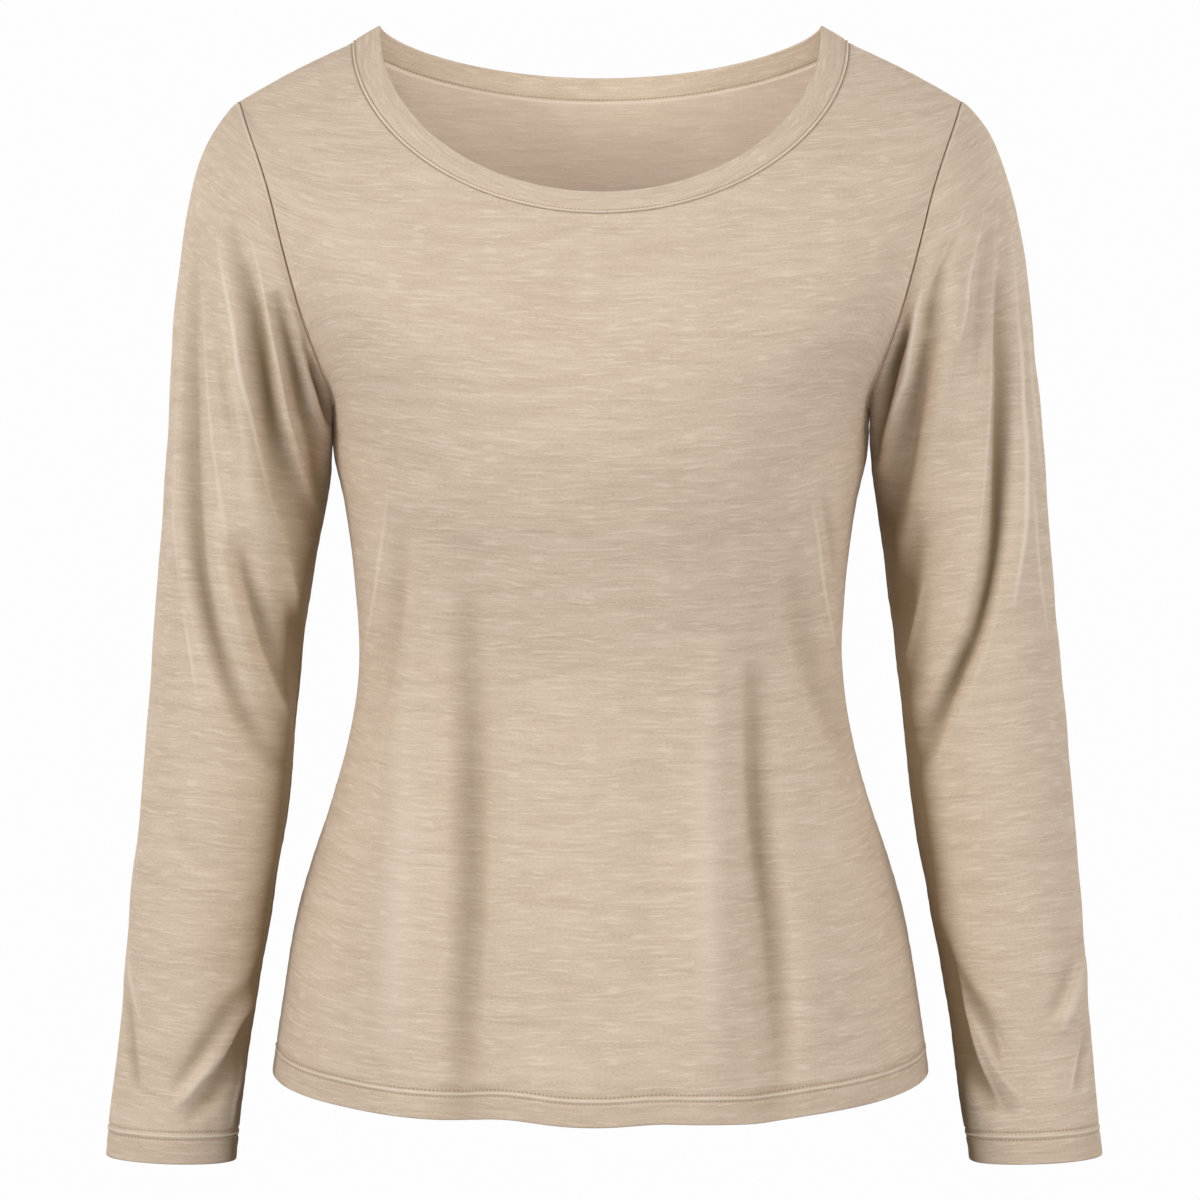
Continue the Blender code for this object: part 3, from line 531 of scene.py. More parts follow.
# %% Long folds
FRONT, BEHIND = -1, 1             # the side a fold is seen from, as the sign of y
Fold = namedtuple("Fold", "seen_from width depth path lean", defaults=(0.0,))
FOLDS = {
    "front": (
        Fold(FRONT, 18, 4.5, ((-93, -330), (-108, -440), (-120, -620))),
        Fold(FRONT, 13, -6.0, ((-76, -260), (-74, -420), (-82, -630))),
        Fold(FRONT, 11, -4.5, ((86, -300), (89, -440), (101, -630))),
        Fold(FRONT, 16, 3.0, ((64, -320), (60, -450), (58, -620))),
        Fold(FRONT, 9, -3.0, ((-108, -250), (-121, -320), (-138, -390))),
        Fold(FRONT, 9, -3.0, ((106, -270), (124, -340), (148, -410))),
    ),
    "back": (
        Fold(BEHIND, 15, -5.0, ((-70, -280), (-78, -430), (-92, -630))),
        Fold(BEHIND, 15, -5.5, ((58, -300), (66, -450), (74, -630))),
        Fold(BEHIND, 16, 4.0, ((-20, -360), (-14, -460), (-10, -630))),
        Fold(BEHIND, 12, -3.5, ((110, -250), (70, -285), (20, -300))),
        Fold(BEHIND, 12, -3.5, ((-112, -270), (-70, -305), (-15, -318))),
    ),
    "sleeve_right": (
        Fold(FRONT, 7, -4.5, ((-228, -100), (-230, -220), (-224, -290), (-205, -350), (-184, -392))),
        Fold(FRONT, 8, -5.5, ((-206, -108), (-192, -170), (-180, -225), (-170, -290))),
        Fold(FRONT, 9, -4.0, ((-204, -260), (-194, -295), (-174, -345))),
        Fold(FRONT, 9, 3.5, ((-216, -100), (-206, -170), (-196, -235), (-182, -300))),
        Fold(FRONT, 8, 2.0, ((-238, -110), (-238, -230), (-232, -310))),
        Fold(FRONT, 6, -3.0, ((-226, -578), (-212, -560), (-198, -530))),
        Fold(BEHIND, 10, -4.5, ((-222, -120), (-214, -220), (-200, -320))),
        Fold(BEHIND, 10, -4.0, ((-200, -330), (-215, -370), (-236, -395))),
        Fold(BEHIND, 7, -2.5, ((-216, -520), (-226, -550), (-244, -570))),
    ),
    "sleeve_left": (
        Fold(FRONT, 7, -4.5, ((227, -80), (227.5, -200), (222, -275), (204, -330), (180, -375))),
        Fold(FRONT, 8, -5.0, ((194, -110), (184, -160), (172, -215), (164, -260))),
        Fold(FRONT, 9, 3.0, ((202, -100), (192, -160), (180, -230), (170, -290))),
        Fold(FRONT, 8, -3.0, ((184, -250), (176, -290), (176, -350))),
        Fold(FRONT, 8, 2.0, ((238, -140), (240, -240), (232, -310))),
        Fold(FRONT, 6, -2.5, ((196, -500), (211, -535), (226, -578))),
        Fold(BEHIND, 10, -4.5, ((220, -110), (214, -210), (202, -310))),
        Fold(BEHIND, 10, -4.0, ((200, -335), (218, -380), (242, -400))),
        Fold(BEHIND, 7, -2.5, ((214, -515), (228, -545), (248, -562))),
    ),
}
print("long folds:", {name: len(folds) for name, folds in FOLDS.items()})

# %% Finer creases of the panels
CREASES = {
    "front": (
        Fold(FRONT, 8.5, -3.4, ((-78, -291), (-76, -347), (-74, -409), (-73, -459), (-74, -493),
             (-76, -527), (-79, -555), (-80, -588)), 0.15),
        Fold(FRONT, 10, 2.2, ((-101, -263), (-104, -319), (-111, -368), (-110, -429), (-115, -491),
             (-117, -555))),
        Fold(FRONT, 1.1, 1, ((-118, -233), (-123, -266), (-127, -294), (-131, -316), (-135, -341))),
        Fold(FRONT, 6, -1.8, ((-116, -249), (-115, -283), (-117, -325), (-121, -355), (-131, -387))),
        Fold(FRONT, 10, 1.9, ((-52, -370), (-52, -429), (-56, -487), (-59, -555))),
        Fold(FRONT, 12, -1.7, ((-25, -387), (-29, -465), (-31, -555))),
        Fold(FRONT, 6.2, -4.6, ((85, -331), (87, -375), (89, -417), (92, -446), (97, -479), (100, -515),
             (104, -577)), -0.25),
        Fold(FRONT, 11, 2, ((65, -319), (58, -387), (59, -443), (64, -510), (68, -566))),
        Fold(FRONT, 11, 1.4, ((118, -437), (120, -499), (124, -571))),
        Fold(FRONT, 9, -1.7, ((28, -398), (27, -465), (31, -566))),
        Fold(FRONT, 1.1, 1.12, ((117, -238), (121, -258), (123, -275), (128, -304), (135, -335))),
        Fold(FRONT, 3, -2.2, ((124, -234), (129, -258), (133, -286)), -0.2),
        Fold(FRONT, 9, -3.6, ((106, -283), (113, -314), (125, -347), (140, -378), (153, -415))),
        Fold(FRONT, 8, 1.4, ((135, -387), (143, -443), (150, -499))),
        Fold(FRONT, 8, -1.4, ((-140, -443), (-147, -499), (-151, -555))),
        Fold(FRONT, 8, -1.7, ((158, -437), (165, -499), (170, -555))),
        Fold(FRONT, 8, -1.4, ((-143, -199), (-118, -222), (-83, -231))),
        Fold(FRONT, 8, -1.4, ((143, -202), (117, -224), (84, -233))),
        Fold(FRONT, 9, 1.2, ((-134, -158), (-126, -196), (-122, -229))),
        Fold(FRONT, 9, 1.2, ((133, -158), (127, -196), (122, -229))),
        Fold(FRONT, 10, -1.2, ((-45, -224), (0, -241), (50, -227))),
    ),
    "back": (
        Fold(BEHIND, 6, -2.8, ((-72, -290), (-79, -430), (-93, -620))),
        Fold(BEHIND, 5, -2.1, ((59, -310), (67, -450), (75, -620))),
        Fold(BEHIND, 9, 2.2, ((-98, -330), (-108, -450), (-120, -620))),
        Fold(BEHIND, 9, 1.5, ((88, -340), (98, -450), (108, -620))),
        Fold(BEHIND, 8, -1.3, ((26, -420), (30, -520), (32, -620))),
        Fold(BEHIND, 8, -1.3, ((-46, -430), (-48, -520), (-52, -620))),
        Fold(BEHIND, 5, -2.0, ((128, -300), (96, -322), (50, -328), (0, -322))),
        Fold(BEHIND, 6, -1.6, ((-128, -312), (-90, -334), (-40, -340))),
        Fold(BEHIND, 7, 1.0, ((104, -268), (64, -300), (24, -312))),
        Fold(BEHIND, 7, 1.0, ((-104, -288), (-64, -318), (-24, -330))),
        Fold(BEHIND, 7, -1.0, ((140, -210), (112, -238), (70, -252))),
        Fold(BEHIND, 7, -1.0, ((-140, -215), (-108, -240), (-72, -256))),
        Fold(BEHIND, 8, -0.9, ((150, -130), (110, -170), (60, -190))),
        Fold(BEHIND, 8, -0.9, ((-150, -126), (-112, -168), (-66, -192))),
    ),
}
print("creases of the panels:", {name: len(folds) for name, folds in CREASES.items()})

# %% Finer creases of the sleeves
CREASES["sleeve_right"] = (
    Fold(FRONT, 1.1, 0.88, ((-230, -85), (-234, -117), (-236, -149), (-237, -174), (-238, -200),
         (-239, -234), (-239, -255), (-237, -275), (-235, -297))),
    Fold(FRONT, 4, -2.4, ((-241, -146), (-243, -196), (-246, -252), (-247, -297))),
    Fold(FRONT, 5.2, -3.8, ((-229, -108), (-232, -151), (-232, -202), (-232, -235), (-229, -263),
         (-226, -286), (-222, -300), (-218, -314), (-213, -328), (-207, -342), (-200, -357),
         (-193, -370), (-186, -382), (-176, -393)), 0.2),
    Fold(FRONT, 1.1, 0.75, ((-225, -95), (-223, -136), (-221, -174), (-220, -187), (-218, -206),
         (-215, -229), (-211, -251), (-209, -270))),
    Fold(FRONT, 4, -2.4, ((-215, -141), (-212, -174), (-207, -202), (-202, -224))),
    Fold(FRONT, 1.1, 1, ((-218, -74), (-213, -107), (-207, -136), (-201, -173), (-196, -193),
         (-192, -211), (-188, -228), (-183, -246), (-177, -263))),
    Fold(FRONT, 5.6, -6, ((-210, -81), (-204, -108), (-196, -134), (-190, -162), (-183, -191),
         (-176, -213), (-170, -230), (-164, -247), (-160, -263)), 0.2),
    Fold(FRONT, 7, 3.2, ((-185, -241), (-177, -266), (-172, -291))),
    Fold(FRONT, 1.6, 1.5, ((-202, -78), (-192, -111), (-186, -143), (-179, -174), (-175, -193),
         (-169, -214), (-164, -232), (-158, -249)), 0.1),
    Fold(FRONT, 8, -2, ((-201, -78), (-191, -111), (-185, -143), (-178, -174), (-174, -193),
         (-168, -214), (-164, -232))),
    Fold(FRONT, 4.4, -7, ((-182, -123), (-177, -139), (-172, -157), (-165, -185), (-159, -207),
         (-156, -230), (-154, -249)), 0.2),
    Fold(FRONT, 2, 2.4, ((-165, -157), (-161, -172), (-158, -190), (-154, -203)), 0.3),
    Fold(FRONT, 3, -9, ((-164, -149), (-159, -169), (-154, -186), (-151, -199))),
    Fold(FRONT, 6, -4.2, ((-200, -268), (-197, -286), (-192, -299), (-187, -316), (-182, -335),
         (-176, -355)), 0.2),
    Fold(FRONT, 2.8, 1.6, ((-204, -275), (-197, -299), (-190, -321), (-185, -335), (-181, -349),
         (-176, -361), (-172, -378)), 0.15),
    Fold(FRONT, 4.5, -6.8, ((-172, -297), (-169, -319), (-167, -347), (-168, -375)), 0.3),
    Fold(FRONT, 2.6, 2.2, ((-176, -275), (-174, -286), (-171, -299), (-167, -315)), 0.2),
    Fold(FRONT, 1.1, 0.75, ((-234, -299), (-232, -316), (-229, -335), (-226, -353))),
    Fold(FRONT, 7, 2.2, ((-218, -230), (-212, -275), (-200, -319), (-190, -353))),
    Fold(FRONT, 8, -2.7, ((-168, -387), (-172, -431), (-177, -476), (-184, -504))),
    Fold(FRONT, 5.5, -4.2, ((-186, -496), (-196, -513), (-206, -525), (-217, -541), (-230, -561),
         (-240, -576))),
    Fold(FRONT, 3.6, 3, ((-190, -513), (-197, -525), (-209, -549), (-222, -564), (-240, -583)), 0.3),
    Fold(FRONT, 5, -4.5, ((-193, -527), (-199, -540), (-206, -559), (-218, -576), (-233, -589))),
    Fold(FRONT, 1.1, 1.25, ((-199, -549), (-201, -564), (-205, -579), (-207, -593))),
    Fold(FRONT, 1.1, 1, ((-265, -496), (-263, -513), (-261, -523), (-257, -535))),
    Fold(FRONT, 3.2, -2.7, ((-266, -513), (-265, -532), (-264, -550), (-260, -573))),
    Fold(FRONT, 7, -1.5, ((-247, -409), (-232, -437), (-207, -454))),
    Fold(BEHIND, 4.4, -3.0, ((-224, -116), (-216, -218), (-202, -322))),
    Fold(BEHIND, 1.2, 0.9, ((-206, -120), (-198, -210), (-186, -300))),
    Fold(BEHIND, 4, -2.2, ((-236, -150), (-234, -240), (-226, -320))),
    Fold(BEHIND, 5, 1.3, ((-194, -318), (-210, -354), (-236, -378))),
    Fold(BEHIND, 5, -2.6, ((-196, -352), (-214, -392), (-238, -420))),
    Fold(BEHIND, 4, -2.2, ((-206, -470), (-222, -506), (-246, -530))),
    Fold(BEHIND, 4, 1.2, ((-212, -545), (-232, -572), (-252, -584))),
)
CREASES["sleeve_left"] = (
    Fold(FRONT, 1.1, 1.12, ((228, -67), (230, -87), (232, -103), (234, -131), (236, -160), (237, -185),
         (238, -208), (238, -231), (237, -260), (234, -283), (231, -304))),
    Fold(FRONT, 1.1, 0.7, ((238, -123), (241, -163), (244, -202), (247, -235))),
    Fold(FRONT, 1.1, 0.75, ((241, -230), (243, -252), (245, -271), (248, -294), (251, -325))),
    Fold(FRONT, 1.1, 0.88, ((223, -71), (223, -109), (221, -137), (220, -166), (219, -185), (218, -202),
         (216, -225), (214, -248), (212, -268))),
    Fold(FRONT, 1.1, 0.75, ((216, -71), (212, -95), (207, -115), (205, -132), (200, -154))),
    Fold(FRONT, 1.1, 0.75, ((206, -74), (196, -96), (190, -109), (183, -123))),
    Fold(FRONT, 4.2, -2.4, ((219, -87), (215, -118), (213, -146), (211, -174))),
    Fold(FRONT, 4.4, -5.4, ((226, -112), (228, -146), (229, -185), (228, -208), (226, -237),
         (224, -265), (220, -288), (214, -309), (207, -325), (200, -337), (192, -353), (181, -374)), 0.35),
    Fold(FRONT, 3.6, 1.2, ((229, -254), (225, -277), (221, -305), (215, -326), (209, -343), (201, -363),
         (191, -381), (185, -393))),
    Fold(FRONT, 4, -2.7, ((201, -87), (192, -108), (186, -129), (182, -146))),
    Fold(FRONT, 7.5, -5.6, ((188, -129), (185, -143), (181, -160), (177, -177), (172, -197), (168, -220),
         (164, -242), (162, -260), (160, -280)), -0.1),
    Fold(FRONT, 2.6, 3.2, ((181, -121), (178, -132), (174, -154), (171, -172), (166, -186), (160, -208),
         (157, -227))),
    Fold(FRONT, 3.2, -8.2, ((172, -135), (169, -150), (163, -168), (159, -184), (155, -201), (154, -220))),
    Fold(FRONT, 4, 1, ((193, -143), (188, -164), (182, -185), (177, -207), (172, -230), (169, -249)), -0.2),
    Fold(FRONT, 5.5, -4.5, ((178, -241), (176, -263), (173, -278), (171, -291), (169, -306), (168, -325))),
    Fold(FRONT, 2.2, 1.6, ((180, -286), (176, -303), (172, -326), (169, -347)), -0.2),
    Fold(FRONT, 5.5, -3.9, ((205, -319), (196, -344), (190, -360), (185, -378), (174, -396))),
    Fold(FRONT, 6, 2.2, ((205, -304), (196, -328), (186, -353), (178, -369))),
    Fold(FRONT, 8, -2.4, ((176, -392), (179, -420), (185, -448), (189, -471))),
    Fold(FRONT, 5, -3.9, ((187, -479), (192, -493), (201, -513), (215, -531), (225, -555))),
    Fold(FRONT, 2.4, 1.9, ((196, -501), (200, -515), (210, -538), (221, -560), (236, -578))),
    Fold(FRONT, 5.2, -3.9, ((193, -513), (197, -528), (202, -548), (214, -570), (234, -587))),
    Fold(FRONT, 1.1, 0.75, ((220, -538), (224, -548), (226, -557))),
    Fold(FRONT, 3.2, 2.2, ((272, -496), (266, -520), (258, -540))),
    Fold(FRONT, 4, -2.2, ((267, -493), (260, -515), (252, -532))),
    Fold(FRONT, 1.1, 1, ((270, -543), (267, -556), (265, -565), (263, -575))),
    Fold(FRONT, 3, -2.1, ((274, -538), (270, -558), (267, -576))),
    Fold(FRONT, 3.2, -2.6, ((192, -487), (196, -506), (202, -532), (210, -561), (220, -585)), 0.3),
    Fold(FRONT, 1.2, 0.9, ((197, -503), (204, -530), (213, -558), (225, -584))),
    Fold(BEHIND, 4, -3.2, ((222, -106), (216, -208), (204, -312))),
    Fold(BEHIND, 1.2, 1.0, ((204, -116), (198, -206), (188, -296))),
    Fold(BEHIND, 4.4, -2.0, ((238, -150), (236, -240), (230, -316))),
    Fold(BEHIND, 5, 1.3, ((196, -322), (214, -362), (242, -384))),
    Fold(BEHIND, 5, -2.2, ((198, -356), (216, -398), (244, -424))),
    Fold(BEHIND, 4, -2.5, ((208, -466), (226, -500), (252, -522))),
    Fold(BEHIND, 4, 1.2, ((214, -540), (236, -566), (256, -576))),
)
print("creases of the sleeves:", len(CREASES["sleeve_right"]), len(CREASES["sleeve_left"]))

# %% [markdown]
# ## From folds to relief
# Every grid point looks up how far it is from a fold's path. A slow wave of a few tenths of a
# millimetre is added all over, since jersey that hangs free is never as even as a formula.


# %% Height of the folds
FOLD_STEPS = 24           # short chords that stand for a fold's curved path
FOLD_EDGE = 6             # how close to a panel's side edges its folds keep their height: higher is closer
NECK_CALM = 0.6           # rows below the neckline over which the folds fade out
CAP_CALM = 0.3            # share of the sleeve cap over which the long folds fade out at the armhole
CREASE_CAP_CALM = 0.12    # the same for the finer creases


def grid_normals(grid, closed):
    """Unit normals of a grid of points: the cross product of its steps across and up."""
    if closed:
        across = np.roll(grid, -1, axis=1) - np.roll(grid, 1, axis=1)
    else:
        across = np.gradient(grid, axis=1)
    return unit(np.cross(across, np.gradient(grid, axis=0)))


def distance_to_path(points, path):
    """Distance from each point to a chain of chords, how far along the chain it is nearest, and the
    side it lies on: +1 to the right of a chain that runs down, -1 to the left."""
    best = np.full(points.shape[:-1], np.inf)
    along = np.zeros(points.shape[:-1])
    side = np.ones(points.shape[:-1])
    for number, (start, end) in enumerate(zip(path[:-1], path[1:])):
        chord = end - start
        offset = points - start
        f = np.clip(offset @ chord / (chord @ chord), 0, 1)
        gap = np.linalg.norm(offset - f[..., None] * chord, axis=-1)
        nearer = gap < best
        best = np.where(nearer, gap, best)
        along = np.where(nearer, number + f, along)
        side = np.where(nearer, np.sign(chord[0] * offset[..., 1] - chord[1] * offset[..., 0]), side)
    return best, along / (len(path) - 1), side


def fold_relief(grid, normals, folds):
    """Sum over the folds of depth * bell, with bell = exp(-(gap / width)^2) * sqrt(sin(pi * along)) *
    sqrt(facing), gap and along measured as the path is seen from two metres, and the width times
    1 + lean on the left and 1 - lean on the right. The second result sums depth / width * bell, which
    becomes painted light: painted shade below zero in a hollow, a painted highlight above zero on a ridge."""
    relief = np.zeros(grid.shape[:-1])
    steepness = np.zeros(grid.shape[:-1])
    for fold in folds:
        nearer = CAMERA_DISTANCE / (CAMERA_DISTANCE - fold.seen_from * grid[..., 1])
        seen = 1000 * np.stack((grid[..., 0] * nearer,
                                CAMERA_HEIGHT + (grid[..., 2] - CAMERA_HEIGHT) * nearer), axis=-1)
        path = along_points(fold.path, np.linspace(0, 1, FOLD_STEPS + 1))
        gap, along, side = distance_to_path(seen, path)
        width = fold.width * (1 - fold.lean * side)
        facing = np.clip(fold.seen_from * normals[..., 1], 0, 1)
        bell = np.exp(-(gap / width) ** 2) * np.sqrt(np.sin(np.pi * along)) * np.sqrt(facing)
        relief += fold.depth * bell
        steepness += fold.depth / fold.width * bell
    return relief / 1000, steepness


def slow_wave(across, up, seed, height=0.00035):
    """A sum of nine sine waves, 35 to 110 mm long, in directions drawn from a fixed seed."""
    draw = np.random.default_rng(seed)
    total = np.zeros(across.shape)
    for wavelength in np.linspace(0.035, 0.110, 9):
        heading, phase = draw.uniform(0, 2 * np.pi, 2)
        total += np.sin(2 * np.pi * (across * np.cos(heading) + up * np.sin(heading)) / wavelength + phase)
    return total * height / 3


# %% [markdown]
# ## Fine grids
# The grid lines crowd together where the cloth is sewn, because stitching draws it into narrow
# grooves, and spread out over the open cloth. The inner face needs only every third line.

# %% Spacing of grid lines
COARSE = 3                # the inner face takes every third grid line


def graded(length, marks):
    """Distances from 0 to length whose spacing follows the (distance, spacing) marks: the running sum
    of 1 / spacing is cut into equal steps, a multiple of COARSE in number."""
    distance = np.linspace(0, length, 4001)
    density = 1 / np.interp(distance, *np.transpose(marks))
    filled = np.concatenate(([0.0], np.cumsum((density[1:] + density[:-1]) / 2 * np.diff(distance))))
    cells = COARSE * max(1, int(round(filled[-1] / COARSE)))
    return np.interp(np.linspace(0, filled[-1], cells + 1), filled, distance)


def edge_marks(length, open_spacing):
    """Spacing marks for cloth that is sewn at both ends: 0.3 mm at the seams, then wider."""
    near = ((0.0, 0.0003), (0.0012, 0.0004), (0.005, 0.0012), (0.014, open_spacing))
    far = tuple((length - place, spacing) for place, spacing in reversed(near))
    return near + far


print("lines across 400 mm:", len(graded(0.4, edge_marks(0.4, 0.002))))

# %% [markdown]
# ## Sewn edges
# A cut edge that is sewn rolls into the seam, and a folded edge is round. Both come from the same
# rule: near an edge the wall of the cloth closes like half a circle. Two rows of stitching pull the
# hem and the cuffs into shallow grooves, with a raised welt between them.

# %% Walls and stitch rows
CLOTH = 0.0012            # wall of the jersey, as in the solids
TURNING = 0.0006          # added inside by the turned-up hem and cuffs
HEM_DEPTH = 0.018         # height of the turned-up hem and cuffs
Sewing = namedtuple("Sewing", "rows groove width welt pucker")
SEWN_PUCKERS = (0.009, 0.0117, 0.0158)    # wavelengths of the puckers along the rows
SEWN_PUCKER_REACH = 0.010                 # how far above the rows they fade out
HEM_SEWING = Sewing(rows=(0.0121, 0.0154), groove=0.00050, width=0.0007, welt=0.00035, pucker=0.00018)
CUFF_SEWING = Sewing(rows=(0.0134, 0.0177), groove=0.00050, width=0.0007, welt=0.00035, pucker=0.00015)


def round_edge(distance):
    """Half thickness of the wall: (t/2) sqrt(1 - 0.97 (1 - d / (t/2))^2) within t/2 of the edge."""
    half = CLOTH / 2
    return half * np.sqrt(1 - 0.97 * (1 - np.clip(distance / half, 0, 1)) ** 2)


def ripples(along, wavelengths, seed):
    """Half the sum of one sine wave for each wavelength, their shifts drawn from a fixed seed."""
    draw = np.random.default_rng(seed)
    return sum(np.sin(2 * np.pi * along / wavelength + draw.uniform(0, 2 * np.pi))
               for wavelength in wavelengths) / 2


def sewn_relief(distance, along, sewing, seed):
    """Grooves exp(-(d / w)^2) at the stitch rows, a welt between them, and puckers 9 to 16 mm long
    that fade out above the rows."""
    low, high = sewing.rows
    grooves = sum(np.exp(-((distance - row) / sewing.width) ** 2) for row in sewing.rows)
    welt = np.exp(-((distance - (low + high) / 2) / (0.3 * (high - low))) ** 2)
    puckers = ripples(along, SEWN_PUCKERS, seed)
    fade = np.exp(-((distance - high) / SEWN_PUCKER_REACH) ** 2)
    return sewing.welt * welt - sewing.groove * grooves + sewing.pucker * puckers * fade


print("hem rows", HEM_SEWING.rows, "cuff rows", CUFF_SEWING.rows)

# %% [markdown]
# ## A shell with two UV maps
# Each piece is one closed shell: a fine outer face, a coarser inner face and a rim that joins them.
# The map `cloth` holds metres across and up the cloth, so the streaks of the yarn follow it. The map
# `sewing` holds metres along and away from a sewn edge, for the painted shade of the needle holes. The
# attribute `fold` holds painted light: painted shade below zero in a hollow, a painted highlight above
# zero on a ridge.


# %% Build a shell
INNER_FACE_PAINTED_LIGHT = 0.35         # painted light that makes the inner face paler all over
INNER_FACE_FOLD_LIGHT_SHARE = 0.4     # share of the outer face's painted shade and highlight that it takes the other way round in a fold


def add_piece(name, points, faces, maps=()):
    """A smooth mesh and its object, with a UV map for each title and its values at the faces' corners."""
    mesh = bpy.data.meshes.new(name)
    mesh.from_pydata(points.tolist(), [], faces)
    for title, values in maps:
        mesh.uv_layers.new(name=title).uv.foreach_set("vector", values.astype(np.float32).ravel())
    mesh.shade_smooth()
    piece = bpy.data.objects.new(name, mesh)
    bpy.context.scene.collection.objects.link(piece)
    return piece


def grid_quads(grid):
    """The four corners of every cell of a grid of numbers."""
    return np.stack((grid[:-1, :-1], grid[:-1, 1:], grid[1:, 1:], grid[1:, :-1]), axis=-1).reshape(-1, 4)


def shell(name, outer, inner, closed, cloth_map, sewing_map, steepness):
    """A closed shell from an outer grid and every third line of an inner one. The maps have one more
    column than a closed grid, so that they don't turn back at the seam."""
    rows, columns = outer.shape[:2]
    fine = np.arange(rows * columns).reshape(rows, columns)
    inner = inner[::COARSE, ::COARSE]
    coarse = rows * columns + np.arange(inner.shape[0] * inner.shape[1]).reshape(inner.shape[:2])
    if closed:
        fine = np.concatenate((fine, fine[:, :1]), axis=1)
        coarse = np.concatenate((coarse, coarse[:, :1]), axis=1)
    place = np.arange(fine.size).reshape(fine.shape)      # where each grid corner is in the maps
    thin = place[::COARSE, ::COARSE]

    def rim(fine_line, coarse_line, turned):
        """One face for each coarse step: its two points, then the finer points back along the edge."""
        steps = [fine_line[k:len(fine_line) - COARSE + k:COARSE] for k in range(COARSE)]
        faces = np.stack([coarse_line[:-1], coarse_line[1:], fine_line[COARSE::COARSE]]
                         + steps[:0:-1] + [steps[0]], axis=-1)
        return faces[:, ::-1] if turned else faces

    rims = [(np.s_[0], False), (np.s_[-1], True)]
    if not closed:
        rims += [(np.s_[:, 0], True), (np.s_[:, -1], False)]
    faces = [grid_quads(fine), grid_quads(coarse)[:, ::-1]]
    faces += [rim(fine[at], coarse[at], turned) for at, turned in rims]
    corners = [grid_quads(place), grid_quads(thin)[:, ::-1]]
    corners += [rim(place[at], thin[at], turned) for at, turned in rims]
    points = np.concatenate((outer.reshape(-1, 3), inner.reshape(-1, 3)))
    order = np.concatenate([part.ravel() for part in corners])
    maps = [("cloth", cloth_map.reshape(-1, 2)[order]), ("sewing", sewing_map.reshape(-1, 2)[order])]
    piece = add_piece(name, points, [face for part in faces for face in part.tolist()], maps)
    # Painted light of the inner face: paler all over, with painted highlight where the outer face has
    # painted shade, and the reverse. The attribute `fold` holds the painted light of both faces.
    inside = INNER_FACE_PAINTED_LIGHT - INNER_FACE_FOLD_LIGHT_SHARE * steepness[::COARSE, ::COARSE]
    tone = np.concatenate((steepness.ravel(), inside.ravel()))
    fold = piece.data.attributes.new("fold", "FLOAT", "POINT")
    fold.data.foreach_set("value", tone.astype(np.float32))
    piece.data.validate()
    triangles = sum(len(part) * (part.shape[1] - 2) for part in faces)
    print(f"{name}: {rows} x {columns} grid, {triangles} triangles")
    return piece

# %% [markdown]
# ## Drafts of the four cloth pieces
# A draft is a piece's outer grid with its folds, its normals, and the place of each grid point in the
# cloth. The drafts are worked out before any wall, because two pieces that are sewn together have to
# lean the same way at their seam.

# %% Draft of a panel
# The last field holds the painted light of the folds: painted shade below zero in a hollow, a painted
# highlight above zero on a ridge.
Draft = namedtuple("Draft", "points normals u v steepness")
PANEL_ACROSS = 0.0015     # between grid lines across the open cloth, since most folds run down it
PANEL_DOWN = 0.0034       # between grid lines down the open cloth
HALF_ROW = 0.225          # a panel's half width round the body, for the spacing of its columns


def panel_draft(panel):
    """Grid of a panel with its columns from the edge at u = -1 to the edge at u = 1, so that the
    normals point outwards, and with both sets of folds."""
    edge_length = SIDE_LENGTH + ARMHOLE_LENGTH[panel] + SHOULDER_LENGTH
    marks = ((0.0, 0.0003), (0.0012, 0.0005), (0.020, 0.0007), (0.030, PANEL_DOWN),
             (edge_length - 0.014, PANEL_DOWN), (edge_length - 0.003, 0.0007), (edge_length, 0.0003))
    distance = graded(edge_length, marks)
    ends = np.cumsum((0.0, SIDE_LENGTH, ARMHOLE_LENGTH[panel], SHOULDER_LENGTH))
    rows = np.interp(distance, ends, (0, 1, 2, 3))
    columns = graded(2 * HALF_ROW, edge_marks(2 * HALF_ROW, PANEL_ACROSS)) / HALF_ROW - 1
    direction = 1 if panel == "front" else -1
    u, v = np.meshgrid(direction * columns, rows)
    plain = panel_surface(panel, u, v)
    normals = grid_normals(plain, closed=False)
    long_fade = (1 - np.abs(u) ** FOLD_EDGE) * ease((3 - v) / NECK_CALM)
    fine_fade = (1 - u ** 12) * ease((3 - v) / (NECK_CALM / 2))
    relief, steepness = fold_relief(plain, normals, FOLDS[panel])
    fine, fine_painted_light = fold_relief(plain, normals, CREASES[panel])
    fine += slow_wave(plain[..., 0], plain[..., 2], len(panel))
    folded = plain + normals * (relief * long_fade + fine * fine_fade)[..., None]
    steepness = steepness * long_fade + fine_painted_light * fine_fade
    return Draft(folded, grid_normals(folded, closed=False), u, v, steepness)


drafts = {panel: panel_draft(panel) for panel in ("front", "back")}
print("panel grids:", {name: draft.u.shape for name, draft in drafts.items()})


# %% Draft of a sleeve
SLEEVE_ACROSS = 0.0010    # the same two spacings for the sleeves
SLEEVE_DOWN = 0.0026
CAP_ROW_LENGTH = 0.19     # the cap's longest line, for the spacing of its rows
RING_LENGTH = 0.30        # round the sleeve, for the spacing of its columns
UNDERARM_PRESS = 0.0011   # how far the sleeve bulges towards the body just below the underarm
PRESS_HEIGHT, PRESS_REACH = -0.206, 0.011    # height of that bulge, and its reach up and down
INNER_SHADE = {"sleeve_right": 2.5, "sleeve_left": 3.0}   # painted shade on the side towards the body, which blocks the light there
INNER_TOP, INNER_FADE = -0.19, 0.10       # height where that starts, and over which it grows


